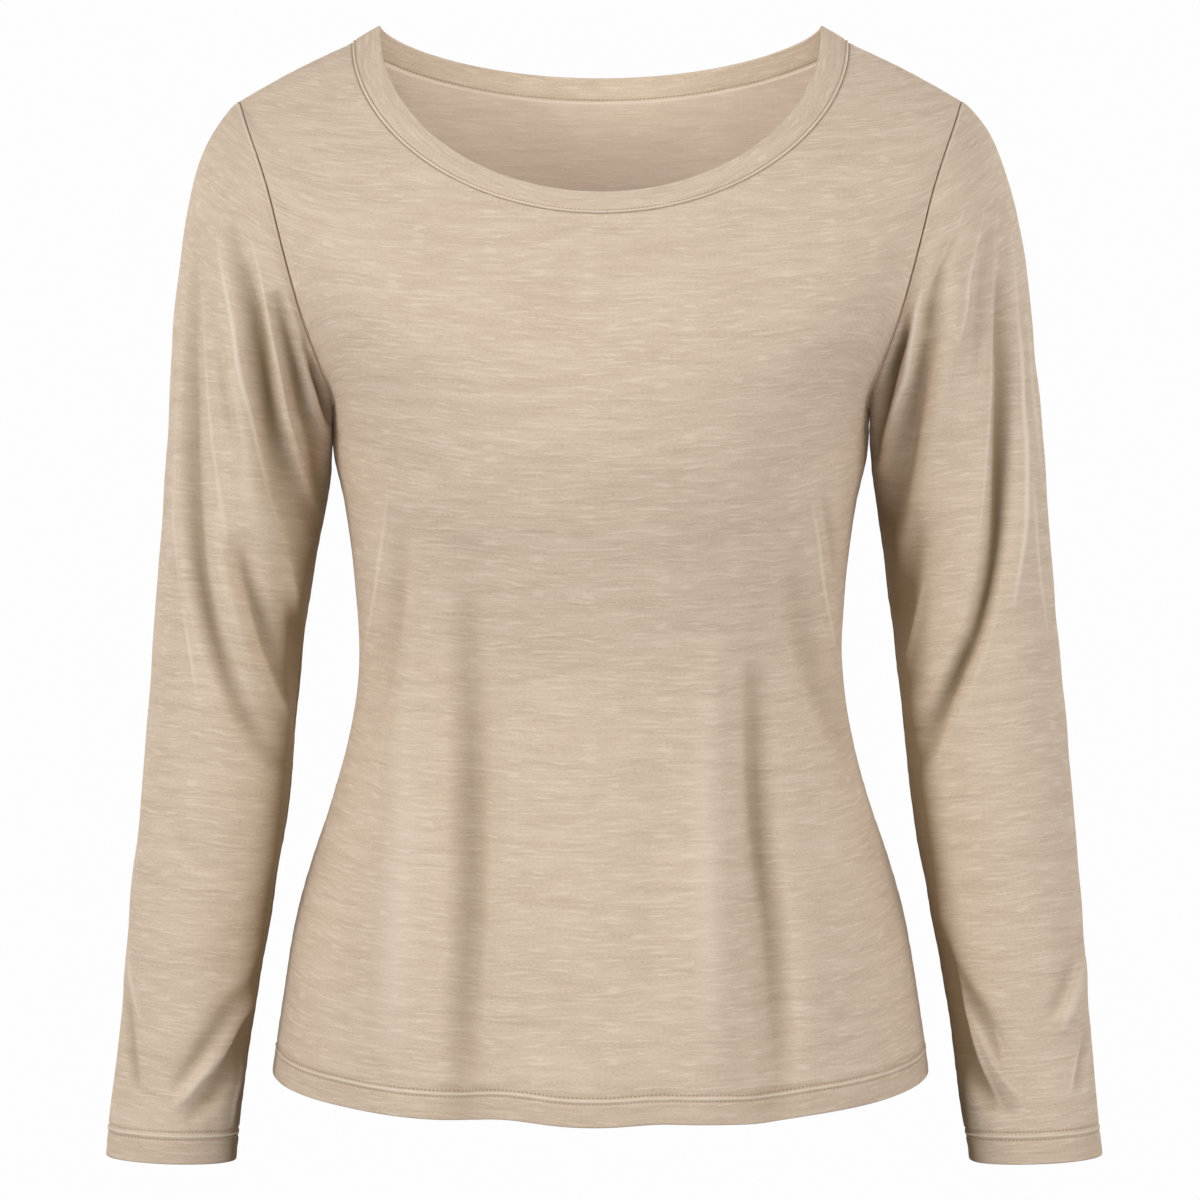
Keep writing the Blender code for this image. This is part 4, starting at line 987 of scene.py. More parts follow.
def sleeve_draft(sleeve, side):
    """Grid of a sleeve from the cuff up to the armhole, for the side +1 left or -1 right. The map v
    holds `along` (2 at the cuff, 1 at the first full ring, 0 at the armhole) and u holds `around`."""
    arm = ARM_LENGTH[sleeve]
    length = arm + CAP_ROW_LENGTH
    marks = ((0.0, 0.0003), (0.0012, 0.0005), (0.022, 0.0007), (0.032, SLEEVE_DOWN),
             (length - 0.014, SLEEVE_DOWN), (length - 0.003, 0.0007), (length, 0.0003))
    rows = np.interp(graded(length, marks), (0, arm, length), (2, 1, 0))
    near_seam = ((0.0, 0.0004), (0.002, 0.0006), (0.010, SLEEVE_ACROSS))
    ring_marks = near_seam + tuple((RING_LENGTH - place, spacing) for place, spacing in reversed(near_seam))
    columns = graded(RING_LENGTH, ring_marks)[:-1] / RING_LENGTH
    around, along = np.meshgrid(side * columns % 1.0, rows)
    plain = sleeve_surface(sleeve, around, along)
    plain[..., 0] *= side
    normals = grid_normals(plain, closed=True)
    long_fade, fine_fade = ease(along / CAP_CALM), ease(along / CREASE_CAP_CALM)
    relief, steepness = fold_relief(plain, normals, FOLDS[sleeve])
    fine, fine_painted_light = fold_relief(plain, normals, CREASES[sleeve])
    turn = 2 * np.pi * around
    fine += slow_wave(0.05 * np.cos(turn), plain[..., 2] + 0.05 * np.sin(turn), 20 + side)
    fine += (UNDERARM_PRESS * np.exp(-((plain[..., 2] - PRESS_HEIGHT) / PRESS_REACH) ** 2)
             * np.clip(-side * normals[..., 0], 0, 1) ** 3)
    folded = plain + normals * (relief * long_fade + fine * fine_fade)[..., None]
    steepness = steepness * long_fade + fine_painted_light * fine_fade
    # Painted shade on the sleeve's side towards the body, added to the painted light of the folds.
    inward = np.clip(-side * normals[..., 0], 0, 1) ** 7 * ease((INNER_TOP - plain[..., 2]) / INNER_FADE)
    steepness -= INNER_SHADE[sleeve] * inward
    return Draft(folded, grid_normals(folded, closed=True), around, along, steepness)


SIDES = {"sleeve_right": -1, "sleeve_left": 1}
drafts.update({sleeve: sleeve_draft(sleeve, side) for sleeve, side in SIDES.items()})
print("sleeve grids:", {name: drafts[name].u.shape for name in SIDES})

# %% [markdown]
# ## Seams
# Where two pieces are sewn together, both take the mean of their two normals at the seam and go back
# to their own within a few millimetres. Their rounded edges then meet in one narrow groove.


# %% Shared normals at the seams
SEAM_REACH = 0.004        # distance over which a piece goes back to its own normals


def read_line(at, knots, values):
    """The rows of values, given at the knots, read at other places."""
    order = np.argsort(knots)
    return np.stack([np.interp(at, knots[order], values[order, k]) for k in range(3)], axis=-1)


def edge_column(panel, side):
    """The grid column at a panel's edge on the wearer's right (-1) or left (+1)."""
    return 0 if (panel == "front") == (side == -1) else -1


def neighbour_normals(panel, side):
    """Normals across the seam from one edge of a panel: the other panel's at the side and shoulder
    seams, the sleeve's at the armhole."""
    own_rows = drafts[panel].v[:, 0]
    other = "back" if panel == "front" else "front"
    across = read_line(own_rows, drafts[other].v[:, 0], drafts[other].normals[:, edge_column(other, side)])
    sleeve = drafts["sleeve_left" if side == 1 else "sleeve_right"]
    share = (own_rows - 1) / 2
    around = share if panel == "front" else 1 - share
    ring = read_line(np.clip(around, 0, 1), sleeve.u[-1], sleeve.normals[-1])
    at_armhole = (own_rows > 1) & (own_rows < 2)
    return np.where(at_armhole[:, None], ring, across)


def distance_along(points, axis, from_end=False):
    """Running length along one axis of a grid, from its first or its last line."""
    steps = np.linalg.norm(np.diff(points, axis=axis), axis=-1)
    total = np.concatenate((np.zeros_like(np.take(steps, [0], axis)), np.cumsum(steps, axis)), axis)
    return np.take(total, [-1], axis) - total if from_end else total


def lean_to(normals, own, other, distance):
    """Normals that turn towards the other piece's within SEAM_REACH of the seam, fully where the two
    surfaces run on and not at all where they meet at a right angle or closer."""
    agreement = np.clip((own * other).sum(-1, keepdims=True), 0, 1)
    shared = unit(own + agreement * other)
    weight = np.exp(-(distance / SEAM_REACH) ** 2)[..., None]
    return unit(normals + (shared - normals) * weight)


def panel_normals(panel):
    """Normals of a panel, leaning to its neighbours' at both edges."""
    points, normals = drafts[panel].points, drafts[panel].normals
    for side in (-1, 1):
        column = edge_column(panel, side)
        other = neighbour_normals(panel, side)[:, None]
        own = drafts[panel].normals[:, [column]]
        normals = lean_to(normals, own, other, distance_along(points, 1, from_end=column == -1))
    return normals


def sleeve_normals(sleeve, side):
    """Normals of a sleeve, leaning to the panels' at the armhole."""
    points, normals, around = drafts[sleeve][:3]
    ring_around = around[-1]
    rows = 1 + 2 * np.minimum(ring_around, 1 - ring_around)
    beyond = {}
    for panel in ("front", "back"):
        edge_normals = drafts[panel].normals[:, edge_column(panel, side)]
        beyond[panel] = read_line(rows, drafts[panel].v[:, 0], edge_normals)
    panels = np.where((ring_around <= 0.5)[:, None], beyond["front"], beyond["back"])
    return lean_to(normals, normals[[-1]], panels[None], distance_along(points, 0, from_end=True))


leaning = {panel: panel_normals(panel) for panel in ("front", "back")}
leaning.update({sleeve: sleeve_normals(sleeve, side) for sleeve, side in SIDES.items()})
print("turned at the seams by up to %.0f degrees" % max(
    np.degrees(np.arccos(np.clip((leaning[name] * drafts[name].normals).sum(-1), -1, 1))).max()
    for name in drafts))

# %% [markdown]
# ## Walls of the cloth
# The relief of the seams and of the stitching goes on last. A plain seam is a soft valley with small
# puckers beside it. Then the two faces are set half a wall out and half a wall in, closing to a round
# edge at every border.

# %% Faces of a wall
SEAM_VALLEY = 0.0004      # depth of the soft valley along a plain seam
SEAM_VALLEY_WIDTH = 0.0022
SEAM_WELT = 0.00022       # height of the narrow welt that the seam allowance makes beside the groove
SEAM_WELT_PLACE = 0.0015
SEAM_WELT_WIDTH = 0.0006
CHORD_SHARE = 2.0         # how much of a hollow's second differences the inner face lies deeper
CHORD_REACH = 3           # grid steps over which that is spread
CHORD_LIMIT = 0.004       # and the most it may be
STEP_WIDTH = 0.0015       # over which the turned-up part ends
TURNED_UP_DARKENING = 0.30        # how much darker the turned-up hem and cuffs are made, towards the brown of the painted shade
NECK_PAINTED_SHADOW = 1.6           # painted shadow on the panels right under the edge of the binding
NECK_PAINTED_SHADOW_WIDTH = 0.0014
WELT_PAINTED_HIGHLIGHT, WELT_PAINTED_HIGHLIGHT_WIDTH = 0.7, 0.0005        # painted highlight on the welt beside a seam
GROOVE_PAINTED_SHADE, GROOVE_PAINTED_SHADE_WIDTH = 2.2, 0.0006    # painted shade in the groove of a seam
PUCKER = 0.00012          # height of the small puckers beside a seam
PUCKER_LENGTHS = (0.008, 0.0105, 0.014)
PUCKER_REACH = 0.008


def seam_relief(distance, along, seed):
    """A valley -depth * exp(-(d / w)^2) along a seam, and puckers 8 to 14 mm long within 8 mm."""
    return (PUCKER * ripples(along, PUCKER_LENGTHS, seed) * np.exp(-(distance / PUCKER_REACH) ** 2)
            - SEAM_VALLEY * np.exp(-(distance / SEAM_VALLEY_WIDTH) ** 2)
            + SEAM_WELT * np.exp(-((distance - SEAM_WELT_PLACE) / SEAM_WELT_WIDTH) ** 2))


def turned_up(to_fold):
    """1 where the hem or cuff is turned up, 0 above, and a soft step of STEP_WIDTH between."""
    return 1 - ease((to_fold - HEM_DEPTH) / STEP_WIDTH)


def turned_up_darkening(to_fold):
    """The turned-up hem or cuff, which is two layers thick, made darker towards the brown of the painted
    shade.
    """
    return -TURNED_UP_DARKENING * turned_up(to_fold)


def seam_painted_light(distance):
    """Painted light beside a seam: painted shade in its groove and a painted highlight on the welt next to
    it.
    """
    welt = WELT_PAINTED_HIGHLIGHT * np.exp(-((distance - SEAM_WELT_PLACE) / WELT_PAINTED_HIGHLIGHT_WIDTH) ** 2)
    return welt - GROOVE_PAINTED_SHADE * np.exp(-(distance / GROOVE_PAINTED_SHADE_WIDTH) ** 2)


def chord_rise(points, normals):
    """How far the coarser inner grid could stand out over the bottom of a hollow: CHORD_SHARE of the
    second differences across and down, taken along the normals, the largest within CHORD_REACH steps."""
    rise = np.zeros(points.shape[:-1])
    for axis, inside in ((0, np.s_[1:-1]), (1, np.s_[:, 1:-1])):
        bend = np.sum(np.diff(points, n=2, axis=axis) * normals[inside], axis=-1)
        rise[inside] += np.maximum(0, bend)
    steps = range(-CHORD_REACH, CHORD_REACH + 1)
    for axis in (0, 1):
        rise = np.max([np.roll(rise, step, axis=axis) for step in steps], axis=0)
    return CHORD_SHARE * rise


def wall_faces(points, normals, relief, to_edge, to_fold):
    """Outer and inner face: the middle of the wall plus and minus its half thickness. Within the
    turned-up part the inner face lies one more layer in, and in hollows it lies deeper by the rise of
    its own chords."""
    middle = points + normals * (relief - CLOTH / 2)[..., None]
    half = round_edge(to_edge)
    turning = TURNING * turned_up(to_fold) * half / (CLOTH / 2)
    behind = np.minimum(chord_rise(points, normals), CHORD_LIMIT) * half / (CLOTH / 2)
    return middle + normals * half[..., None], middle - normals * (half + turning + behind)[..., None]


# %% Metres across and up the cloth
SHOULDER_SLOPE = -0.06    # above this height the cloth leans back, so its streaks lie closer when seen level
SLOPE_STRETCH = 0.5
ARMHOLE_DIP = 0.030       # how far the streaks dip towards the armhole seam
DIP_HEIGHT, DIP_REACH = -0.160, 0.045        # where they dip most, and over what height


def grain_height(z, bow):
    """Height along the cloth: the height z less the bow of the rows, stretched on the sloping top."""
    level = z - bow
    return level + SLOPE_STRETCH * np.maximum(level - SHOULDER_SLOPE, 0)


def panel_maps(panel, to_hem):
    """The cloth map of a panel: the length across from its middle, and the grain's height, whose rows
    bow up to the sides by as much as the hem does. The sewing map: across, and up from the hem."""
    points, _, u, v, _ = drafts[panel]
    steps = np.linalg.norm(np.diff(points[..., :2], axis=1), axis=-1)
    across = np.concatenate((np.zeros_like(steps[:, :1]), np.cumsum(steps, axis=1)), axis=1)
    across -= across[:, [across.shape[1] // 2]]
    edge, middle = points[:, 0, 2], points[:, points.shape[1] // 2, 2]
    underarm = np.searchsorted(v[:, 0], 1)
    bow = np.where(v[:, 0] <= 1, edge - middle, (edge - middle)[underarm] * (1 - 0.3 * (v[:, 0] - 1)))
    dip = ARMHOLE_DIP * np.abs(u) ** 5 * np.exp(-((points[..., 2] - DIP_HEIGHT) / DIP_REACH) ** 2)
    grain = grain_height(points[..., 2], bow[:, None] * u ** 2 - dip)
    return np.stack((across, grain), axis=-1), np.stack((across, to_hem), axis=-1)


def make_panel(panel):
    """One panel: relief, walls, maps and shell."""
    points = drafts[panel].points
    normals = leaning[panel]
    to_side = np.minimum(distance_along(points, 1), distance_along(points, 1, from_end=True))
    to_hem = distance_along(points, 0)
    to_neck = distance_along(points, 0, from_end=True)
    cloth_map, sewing_map = panel_maps(panel, to_hem)
    relief = (sewn_relief(to_hem, cloth_map[..., 0], HEM_SEWING, 3)
              + seam_relief(to_side, to_hem, 5)
              + seam_relief(to_neck, cloth_map[..., 0], 7))
    to_edge = np.minimum(np.minimum(to_side, to_hem), to_neck)
    outer, inner = wall_faces(points, normals, relief, to_edge, to_hem)
    # Painted light of the panel: painted shade and highlights of the folds, painted shade in the side seams'
    # groove with a painted highlight on their welt, the darker turned-up hem, and a painted shadow under the
    # binding.
    tone = (drafts[panel].steepness + seam_painted_light(to_side) + turned_up_darkening(to_hem)
            - NECK_PAINTED_SHADOW * np.exp(-(to_neck / NECK_PAINTED_SHADOW_WIDTH) ** 2))
    piece = shell(panel + "_cloth", outer, inner, False, cloth_map, sewing_map, tone)
    return piece, outer, to_hem


pieces, faces, from_edge = {}, {}, {}
for panel in ("front", "back"):
    pieces[panel], faces[panel], from_edge[panel] = make_panel(panel)


# %% Make the sleeves
GRAIN_TILT = 0.10         # rise of the streaks towards the outer side, for each metre out, on the arm
CAP_TILT = 0.75           # added to it on the cap, which is cut across the grain of the panels
CAP_TILT_LOW, CAP_TILT_RISE = -0.20, 0.17    # height where that starts, and over which it grows
UNDERARM_SEAM = 0.00045   # depth of the groove of the sleeve's own seam
UNDERARM_SEAM_WIDTH = 0.0007


def make_sleeve(sleeve, side):
    """One sleeve: relief, walls, maps and shell. Its maps get one more column, at around = 1, so that
    they run on to the underarm seam."""
    points = drafts[sleeve].points
    normals = leaning[sleeve]
    ring = np.concatenate((points, points[:, :1]), axis=1)
    across = distance_along(ring, 1)
    to_seam = np.minimum(across, across[:, [-1]] - across)[:, :-1]
    to_cuff = distance_along(points, 0)
    to_armhole = distance_along(points, 0, from_end=True)
    relief = (sewn_relief(to_cuff, across[:, :-1], CUFF_SEWING, 11)
              + seam_relief(to_armhole, across[:, :-1], 13)
              + seam_relief(to_seam, to_cuff, 17)
              - UNDERARM_SEAM * np.exp(-(to_seam / UNDERARM_SEAM_WIDTH) ** 2))
    to_edge = np.minimum(to_cuff, to_armhole)
    outer, inner = wall_faces(points, normals, relief, to_edge, to_cuff)
    outward = side * ring[..., 0] - 0.2
    tilt = GRAIN_TILT + CAP_TILT * ease((ring[..., 2] - CAP_TILT_LOW) / CAP_TILT_RISE)
    grain = grain_height(ring[..., 2], tilt * outward)
    cloth_map = np.stack((across - across[:, [-1]] / 2, grain), axis=-1)
    sewing_map = np.stack((across, np.concatenate((to_cuff, to_cuff[:, :1]), axis=1)), axis=-1)
    # Painted light of the sleeve: painted shade and highlights of the folds and of its side towards the
    # body, painted shade in the armhole seam's groove with a painted highlight on its welt, and the darker
    # turned-up cuff.
    tone = drafts[sleeve].steepness + seam_painted_light(to_armhole) + turned_up_darkening(to_cuff)
    piece = shell(sleeve + "_cloth", outer, inner, True, cloth_map, sewing_map, tone)
    return piece, outer, to_cuff


for sleeve, side in SIDES.items():
    pieces[sleeve], faces[sleeve], from_edge[sleeve] = make_sleeve(sleeve, side)

# %% [markdown]
# ## The neck binding
# A strip of the same jersey, folded double, is sewn round the neckline and stands a little proud. Its
# section is a pillow with one stitched groove close to the seam, and it is carried round the neckline
# as one closed ring, the same on its inner side.

# %% Section of the binding
BAND_SIDE = (0.1240, 0.008, 0.0262)
BAND_CENTRE = {"front": (-0.0885, -0.0780), "back": (0.0612, 0.0045)}
BAND_DROOP = {"front": 1.03, "back": 1.45}
BAND_HALF = 0.0009        # half thickness of the folded strip
BAND_LAP = 0.0006         # how far it reaches over the panels' edge
BAND_PROUD = 0.0003       # how far its middle stands out over the panels' outer face, less one wall
BAND_STITCH = 0.0018      # from the seam to the row of stitching
BAND_WELT = 0.00022
BAND_GROOVE = 0.00050
BAND_COLUMNS = 190        # along each of the front and the back half


def band_section(width):
    """Places across the strip and heights of its outer face: a pillow closed like half a circle at
    both edges, less a groove at the stitching, plus a welt between the groove and the seam."""
    place = np.concatenate((np.linspace(0, 0.0010, 5)[:-1], np.linspace(0.0010, 0.0028, 10)[:-1],
                            np.linspace(0.0028, width - 0.0012, 9)[:-1],
                            width - 0.0012 * np.linspace(1, 0, 7) ** 1.6))
    nearest = np.minimum(place, width - place)
    closing = np.sqrt(1 - 0.98 * (1 - np.clip(nearest / 0.0010, 0, 1)) ** 2)
    pillow = BAND_HALF * closing * (0.8 + 0.2 * np.sin(np.pi * place / width))
    groove = BAND_GROOVE * np.exp(-((place - BAND_STITCH) / 0.00055) ** 2)
    welt = BAND_WELT * np.exp(-((place - BAND_STITCH / 2) / 0.0005) ** 2)
    return place, pillow - groove + welt


def band_lines():
    """Seam line and free edge of the binding as closed loops: the front from right to left, then the
    back from left to right."""
    seam, free = [], []
    for panel, direction in (("front", 1), ("back", -1)):
        u = direction * np.linspace(-1, 1, BAND_COLUMNS + 1)[:-1]
        seam.append(panel_surface(panel, u[None], np.full((1, BAND_COLUMNS), 3.0))[0])
        side = np.broadcast_to(np.asarray(BAND_SIDE), (BAND_COLUMNS, 3))
        free.append(arc_row(side, *BAND_CENTRE[panel], 90.0, BAND_DROOP[panel], u))
    return np.concatenate(seam), np.concatenate(free)


def make_band():
    """The binding as one closed ring: its section's outer places, then the inner ones back again."""
    seam, free = band_lines()
    run = np.roll(seam, -1, axis=0) - np.roll(seam, 1, axis=0)
    up = unit(np.cross(run, free - seam))
    seam = seam - unit(free - seam) * BAND_LAP
    width = np.linalg.norm(free - seam, axis=-1).mean()
    place, height = band_section(width)
    share = np.concatenate((place, place[-2:0:-1])) / width
    heights = np.concatenate((height, -0.9 * height[-2:0:-1]))
    heights = heights + BAND_PROUD - CLOTH / 2
    grid = (seam[None] + (free - seam)[None] * share[:, None, None] + up[None] * heights[:, None, None])
    steps = np.linalg.norm(np.diff(np.vstack((seam, seam[:1])), axis=0), axis=1)
    around = np.concatenate(([0.0], np.cumsum(steps)))
    print("binding: %.0f mm round, %.1f mm wide" % (1000 * around[-1], 1000 * width))
    return grid, around, share * width, up, place


band_grid, band_around, band_across, band_up, band_place = make_band()


def ring_mesh(name, grid, around, across):
    """A closed ring of a closed section, with the two maps of the cloth pieces."""
    stations, count = grid.shape[:2]
    index = np.arange(stations * count).reshape(stations, count)
    here = np.concatenate((index, index[:, :1]), axis=1)
    here = np.concatenate((here, here[:1]), axis=0)
    faces = grid_quads(here)
    along, place = np.meshgrid(around, np.append(across, across[0]))
    corners = grid_quads(np.arange(along.size).reshape(along.shape)).reshape(-1)
    values = np.stack((along, place), axis=-1).reshape(-1, 2)[corners]
    print(f"{name}: {2 * len(faces)} triangles")
    return add_piece(name, grid.reshape(-1, 3), faces.tolist(), (("cloth", values), ("sewing", values)))


pieces["neckband"] = ring_mesh("neckband_cloth", band_grid, band_around, band_across)

# %% [markdown]
# ## Stitches
# The twin needle leaves two rows of short stitches on the hem and the cuffs, and one row runs round
# the binding. A stitch is a tiny closed capsule of thread that lies in its groove. All stitches of a
# row are one mesh, worked out as one array.

# %% A row of stitches
THREAD_RADIUS = 0.00020
STITCH_PITCH = 0.0022
STITCH_LENGTH = 0.0015
STITCH_AIM = 0.0006       # how far ahead and behind a stitch its direction is taken
CAPSULE_SIDES = 6
CAPSULE_RINGS = ((-0.5, 0.05), (-0.36, 0.8), (0.0, 1.0), (0.36, 0.8), (0.5, 0.05))   # place, thickness


def capsules(centres, along, up):
    """Points and faces of capsules: centre + along * place * length + (cos(a) side + sin(a) up) *
    thickness * radius, their rings closed by a cap at each end."""
    place, thickness = np.transpose(CAPSULE_RINGS)
    angle = 2 * np.pi * np.arange(CAPSULE_SIDES) / CAPSULE_SIDES
    side = np.cross(along, up)
    spoke = (side[:, None, None] * np.cos(angle)[None, None, :, None]
             + up[:, None, None] * np.sin(angle)[None, None, :, None])
    points = (centres[:, None, None] + along[:, None, None] * (place * STITCH_LENGTH)[None, :, None, None]
              + spoke * (thickness * THREAD_RADIUS)[None, :, None, None])
    rings = len(place)
    index = np.arange(rings * CAPSULE_SIDES).reshape(rings, CAPSULE_SIDES)
    turned = np.roll(index, -1, axis=1)
    quads = np.stack((index[:-1], turned[:-1], turned[1:], index[1:]), axis=-1).reshape(-1, 4)
    step = (np.arange(len(centres)) * rings * CAPSULE_SIDES)[:, None, None]
    ends = np.stack((index[0][::-1], index[-1]))
    return points.reshape(-1, 3), (quads + step).reshape(-1, 4), (ends + step).reshape(-1, CAPSULE_SIDES)


def stitch_row(line, normals, closed):
    """Centres, directions and normals of stitches, one pitch apart along a line on the cloth."""
    if closed:
        line, normals = np.vstack((line, line[:1])), np.vstack((normals, normals[:1]))
    run = np.concatenate(([0.0], np.cumsum(np.linalg.norm(np.diff(line, axis=0), axis=1))))
    count = int(run[-1] / STITCH_PITCH)
    at = (np.arange(count) + 0.5) * run[-1] / count
    ahead, behind, centre = (np.stack([np.interp(at + shift, run, line[:, k]) for k in range(3)], axis=-1)
                             for shift in (STITCH_AIM, -STITCH_AIM, 0.0))
    along = unit(ahead - behind)
    up = np.stack([np.interp(at, run, normals[:, k]) for k in range(3)], axis=-1)
    up = unit(up - along * (up * along).sum(-1, keepdims=True))
    return centre, along, up


def sew(name, rows):
    """One mesh with all the stitches of several rows."""
    centres, along, up = (np.concatenate(part) for part in zip(*rows))
    points, quads, ends = capsules(centres, along, up)
    print(f"{name}: {len(centres)} stitches")
    return add_piece(name, points, quads.tolist() + ends.tolist())


def line_above_edge(name, height):
    """The line on a piece's outer face that lies a height above its hem or cuff, with its normals."""
    distance, outer, normals = from_edge[name], faces[name], leaning[name]
    above = (distance < height).sum(axis=0)
    column = np.arange(distance.shape[1])
    low, high = distance[above - 1, column], distance[above, column]
    f = ((height - low) / (high - low))[:, None]
    line = outer[above - 1, column] * (1 - f) + outer[above, column] * f
    return line, normals[above, column]


stitches = {}
for name, sewing in (("front", HEM_SEWING), ("back", HEM_SEWING), ("sleeve_left", CUFF_SEWING),
                     ("sleeve_right", CUFF_SEWING)):
    rows = [stitch_row(*line_above_edge(name, height), closed=name in SIDES) for height in sewing.rows]
    stitches[name] = sew(name + "_stitches", rows)

band_row = int(np.abs(band_place - BAND_STITCH).argmin())
inner_row = len(band_grid) - band_row
stitches["neckband"] = sew("neckband_stitches", [
    stitch_row(band_grid[band_row], band_up, closed=True),
    stitch_row(band_grid[inner_row], -band_up, closed=True)])

# %% [markdown]
# ## Slub jersey
# The yarn is uneven: thick and thin places show as short level streaks, lighter and darker, over soft
# blotches. A few threads stand out pale. All of it is noise stretched along the cloth, so it reads the
# `cloth` map, in metres. Small spots of painted shade stand for the needle holes in the grooves, read
# from `sewing`, and a painted highlight lies on the welt beside the stitching. The attribute `fold`
# paints shade into the hollows and highlights onto the ridges. The knit itself is far finer than a
# pixel, so it is bump.

# %% The jersey material
Tones = namedtuple("Tones", "dark middle light")
JERSEY = Tones(dark=(0.50, 0.385, 0.285, 1), middle=(0.675, 0.540, 0.412, 1), light=(0.80, 0.675, 0.55, 1))
# Painted shade in the needle holes of the stitching.
NEEDLE_HOLE_SHADE = (0.30, 0.19, 0.11, 1)
PAINTED_SHADE_BROWN = (0.19, 0.122, 0.052, 1)    # painted shade deep in a fold, brown where light goes from wall to wall of the cloth
PAINTED_HIGHLIGHT_PALE = (0.84, 0.725, 0.60, 1)       # painted highlight on a sharp ridge and on the welts beside the stitching
# How the streaks stray from level: noise steps a metre across and up, its layer, and metres
Wander = namedtuple("Wander", "across up layer reach")
WANDERING = (Wander(24, 24, 9, 0.0035), Wander(120, 170, 8, 0.0013), Wander(480, 480, 7, 0.0005))
WALE = 0.0009             # width of a knitted column
COURSE = 0.0007           # height of a knitted row


class Cloth(Graph):
    """A material that reads one of the piece's own maps in metres."""

    def place(self, title):
        """The two coordinates of a UV map as plain values."""
        uv = self.node("ShaderNodeUVMap", {"uv_map": title})
        split = self.node("ShaderNodeSeparateXYZ", inputs={0: uv})
        return split, Wire(self, split.socket.node.outputs[1])

    def streaks(self, x, y, layer, detail=2.0):
        """Noise from about 0.2 to 0.8 over the point (x, y) of one layer of the noise."""
        point = self.node("ShaderNodeCombineXYZ", inputs={0: x, 1: y, 2: layer})
        return self.node("ShaderNodeTexNoise", inputs={"Vector": point, "Scale": 1.0, "Detail": detail})

    def between(self, value, low, high):
        """0 below low, 1 above high and a straight line between, clamped."""
        return self.node("ShaderNodeMapRange", inputs={0: value, 1: low, 2: high})

    def blend(self, factor, first, second):
        """The first colour where the factor is 0 and the second where it is 1."""
        return self.node("ShaderNodeMix", {"data_type": "RGBA"}, {0: factor, 6: first, 7: second}, output=2)


def needle_hole_shade(cloth, rows, width):
    """Mask of the painted shade in the needle holes: 1 in small round places one pitch apart along each row
    of stitching, and less between them.
    """
    along, distance = cloth.place("sewing")
    beat = (along * (2 * math.pi / STITCH_PITCH)).sine() * 0.45 + 0.55
    marks = 0.0
    for row in rows:
        off = (distance - row) / width
        marks = cloth.between(off * off, 1.0, 0.0) + marks
    return marks * beat


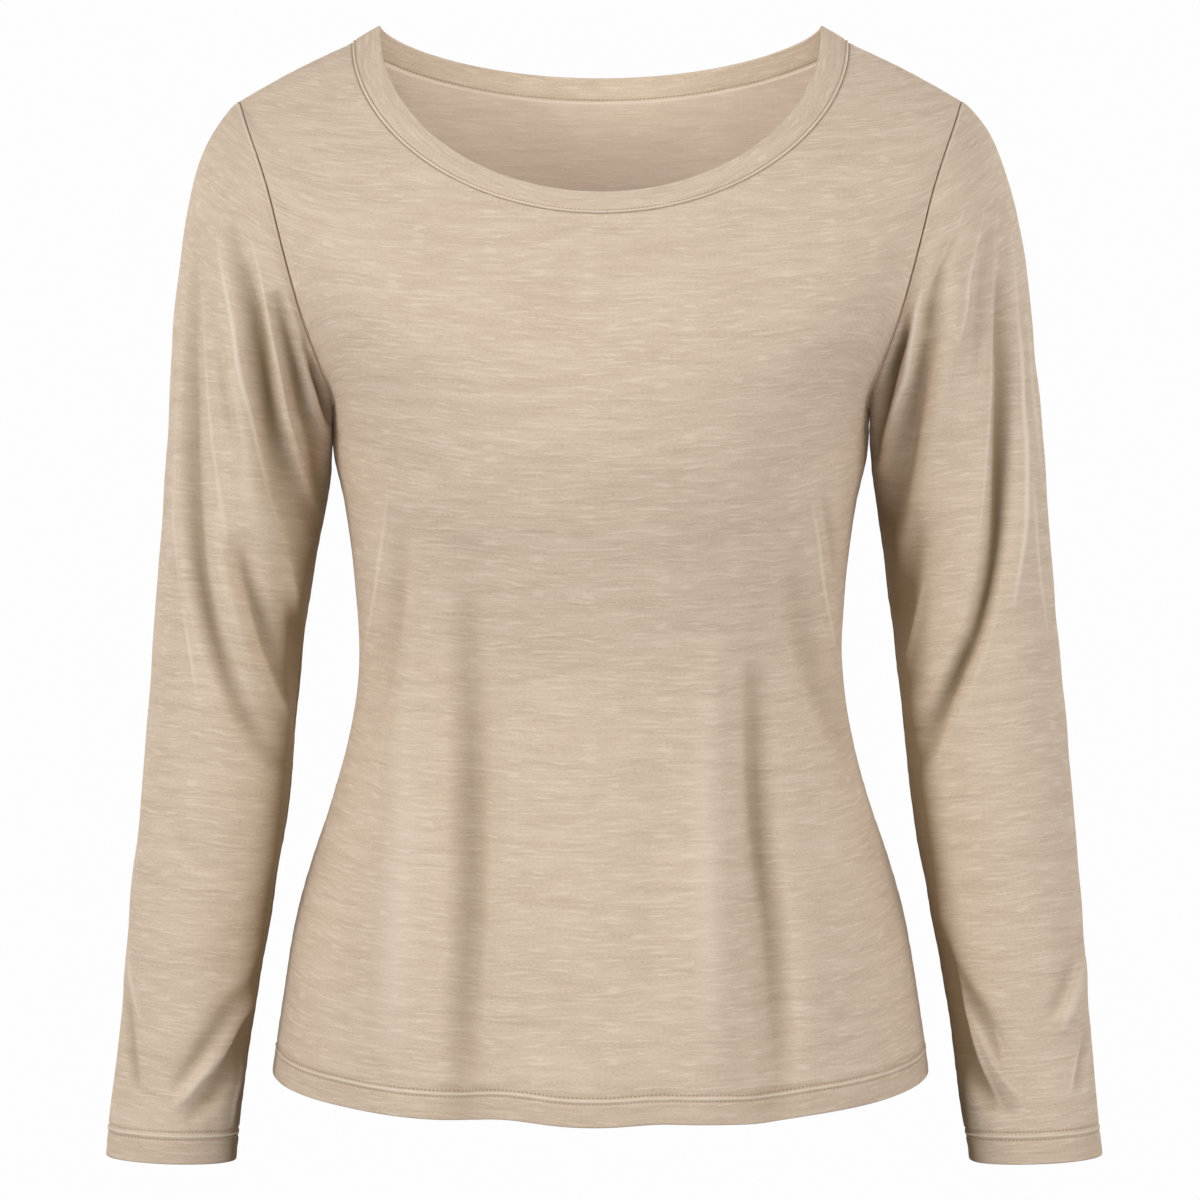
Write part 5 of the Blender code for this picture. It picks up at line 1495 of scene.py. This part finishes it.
def jersey(name, rows, welt, mark_width, seed, folded=True):
    """Slub jersey with painted shade in the needle holes of the stitching at those distances from the sewn
    edge, and a painted highlight on the welt at another, where the cloth is pushed up beside the stitching."""
    cloth = Cloth(name)
    x, y = cloth.place("cloth")
    for wave in WANDERING:
        y = y + cloth.streaks(x * wave.across, y * wave.up, seed + wave.layer, 0.0) * wave.reach
    blotch = cloth.streaks(x * 18, y * 150, seed, 1.0)
    slub = cloth.streaks(x * 60, y * 600, seed + 1, 1.0)
    fine = cloth.streaks(x * 520, y * 1300, seed + 2, 1.0)
    thread = cloth.streaks(x * 75, y * 680, seed + 3, 0.0)
    shade = (blotch - 0.5) * 0.50 + (slub - 0.5) * 0.34 + (fine - 0.5) * 0.55
    colour = cloth.blend(cloth.between(shade, -0.45, 0.0), JERSEY.dark, JERSEY.middle)
    colour = cloth.blend(cloth.between(shade, 0.0, 0.45), colour, JERSEY.light)
    colour = cloth.blend(cloth.between(thread, 0.63, 0.70) * 0.48, colour, JERSEY.light)
    colour = cloth.blend(cloth.between(thread, 0.36, 0.26) * 0.20, colour, JERSEY.dark)
    # Painted shade in the hollows and painted highlight on the ridges, read from the attribute `fold`.
    if folded:
        fold = cloth.node("ShaderNodeAttribute", {"attribute_name": "fold"}, output=2)
        colour = cloth.blend(cloth.between(fold, -0.12, -1.7) * 0.85, colour, PAINTED_SHADE_BROWN)
        colour = cloth.blend(cloth.between(fold, 0.15, 0.8) * 0.8, colour, PAINTED_HIGHLIGHT_PALE)
    # Painted highlight on the welt beside the stitching.
    off = (cloth.place("sewing")[1] - welt) / 0.0007
    colour = cloth.blend(cloth.between(off * off, 1.0, 0.2) * 0.55, colour, PAINTED_HIGHLIGHT_PALE)
    # Painted shade of the needle holes along the rows of stitching.
    marks = needle_hole_shade(cloth, rows, mark_width)
    colour = cloth.blend(marks * 0.8, colour, NEEDLE_HOLE_SHADE)
    wales = (x * (2 * math.pi / WALE)).sine()
    courses = (y * (2 * math.pi / COURSE)).sine()
    height = wales * courses * 0.2 + slub * 1.1 + fine * 0.7 + thread * 1.3
    bump = cloth.node("ShaderNodeBump", inputs={"Height": height, "Strength": 0.55, "Distance": 0.00025})
    return cloth.finish(Base_Color=colour, Normal=bump, Roughness=0.9, Sheen_Weight=0.10,
                        Sheen_Roughness=0.5, Sheen_Tint=(1.0, 0.86, 0.70, 1), Specular_IOR_Level=0.12)


looks = {
    "panel": jersey("slub_jersey_panels", HEM_SEWING.rows, 0.01375, 0.00055, 0.0),
    "sleeve": jersey("slub_jersey_sleeves", CUFF_SEWING.rows, 0.01555, 0.00055, 40.0),
    "band": jersey("neck_binding_jersey", (BAND_STITCH,), 0.0005, 0.0005, 80.0, folded=False),
}
for name, piece in pieces.items():
    kind = "band" if name == "neckband" else "sleeve" if name in SIDES else "panel"
    piece.data.materials.append(looks[kind])

# %% Thread
# Darker than the cloth: painted shade on a thread of the cloth's own colour.
SHADED_THREAD_COLOUR = (0.47, 0.35, 0.25, 1)
thread = Cloth("sewing_thread")
spot = thread.node("ShaderNodeTexCoord", output=3)
twist = thread.node("ShaderNodeTexNoise", inputs={"Vector": spot, "Scale": 2500.0, "Detail": 1.0})
thread_look = thread.finish(Base_Color=thread.blend(twist, SHADED_THREAD_COLOUR, JERSEY.middle), Roughness=0.6,
                            Sheen_Weight=0.2)
for row in stitches.values():
    row.data.materials.append(thread_look)

# %% [markdown]
# ## What each piece is
# Every piece rides on the one body and replaces its solid. A table gives each cloth piece the size it
# was cut to: the smallest rectangle round the pattern piece, and the area of the cut.

Cut = namedtuple("Cut", "width length area")
CUTS = {
    "front": Cut(0.450, 0.650, 0.222),
    "back": Cut(0.450, 0.665, 0.235),
    "sleeve_left": Cut(0.345, 0.600, 0.145),
    "sleeve_right": Cut(0.345, 0.600, 0.141),
    "neckband": Cut(0.0155, 0.780, 0.0120),
}
for name, piece in pieces.items():
    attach(piece, "root")
    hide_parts(name)
    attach(stitches[name], "root")
print("cloth cut: %.2f square metres" % sum(cut.area for cut in CUTS.values()))
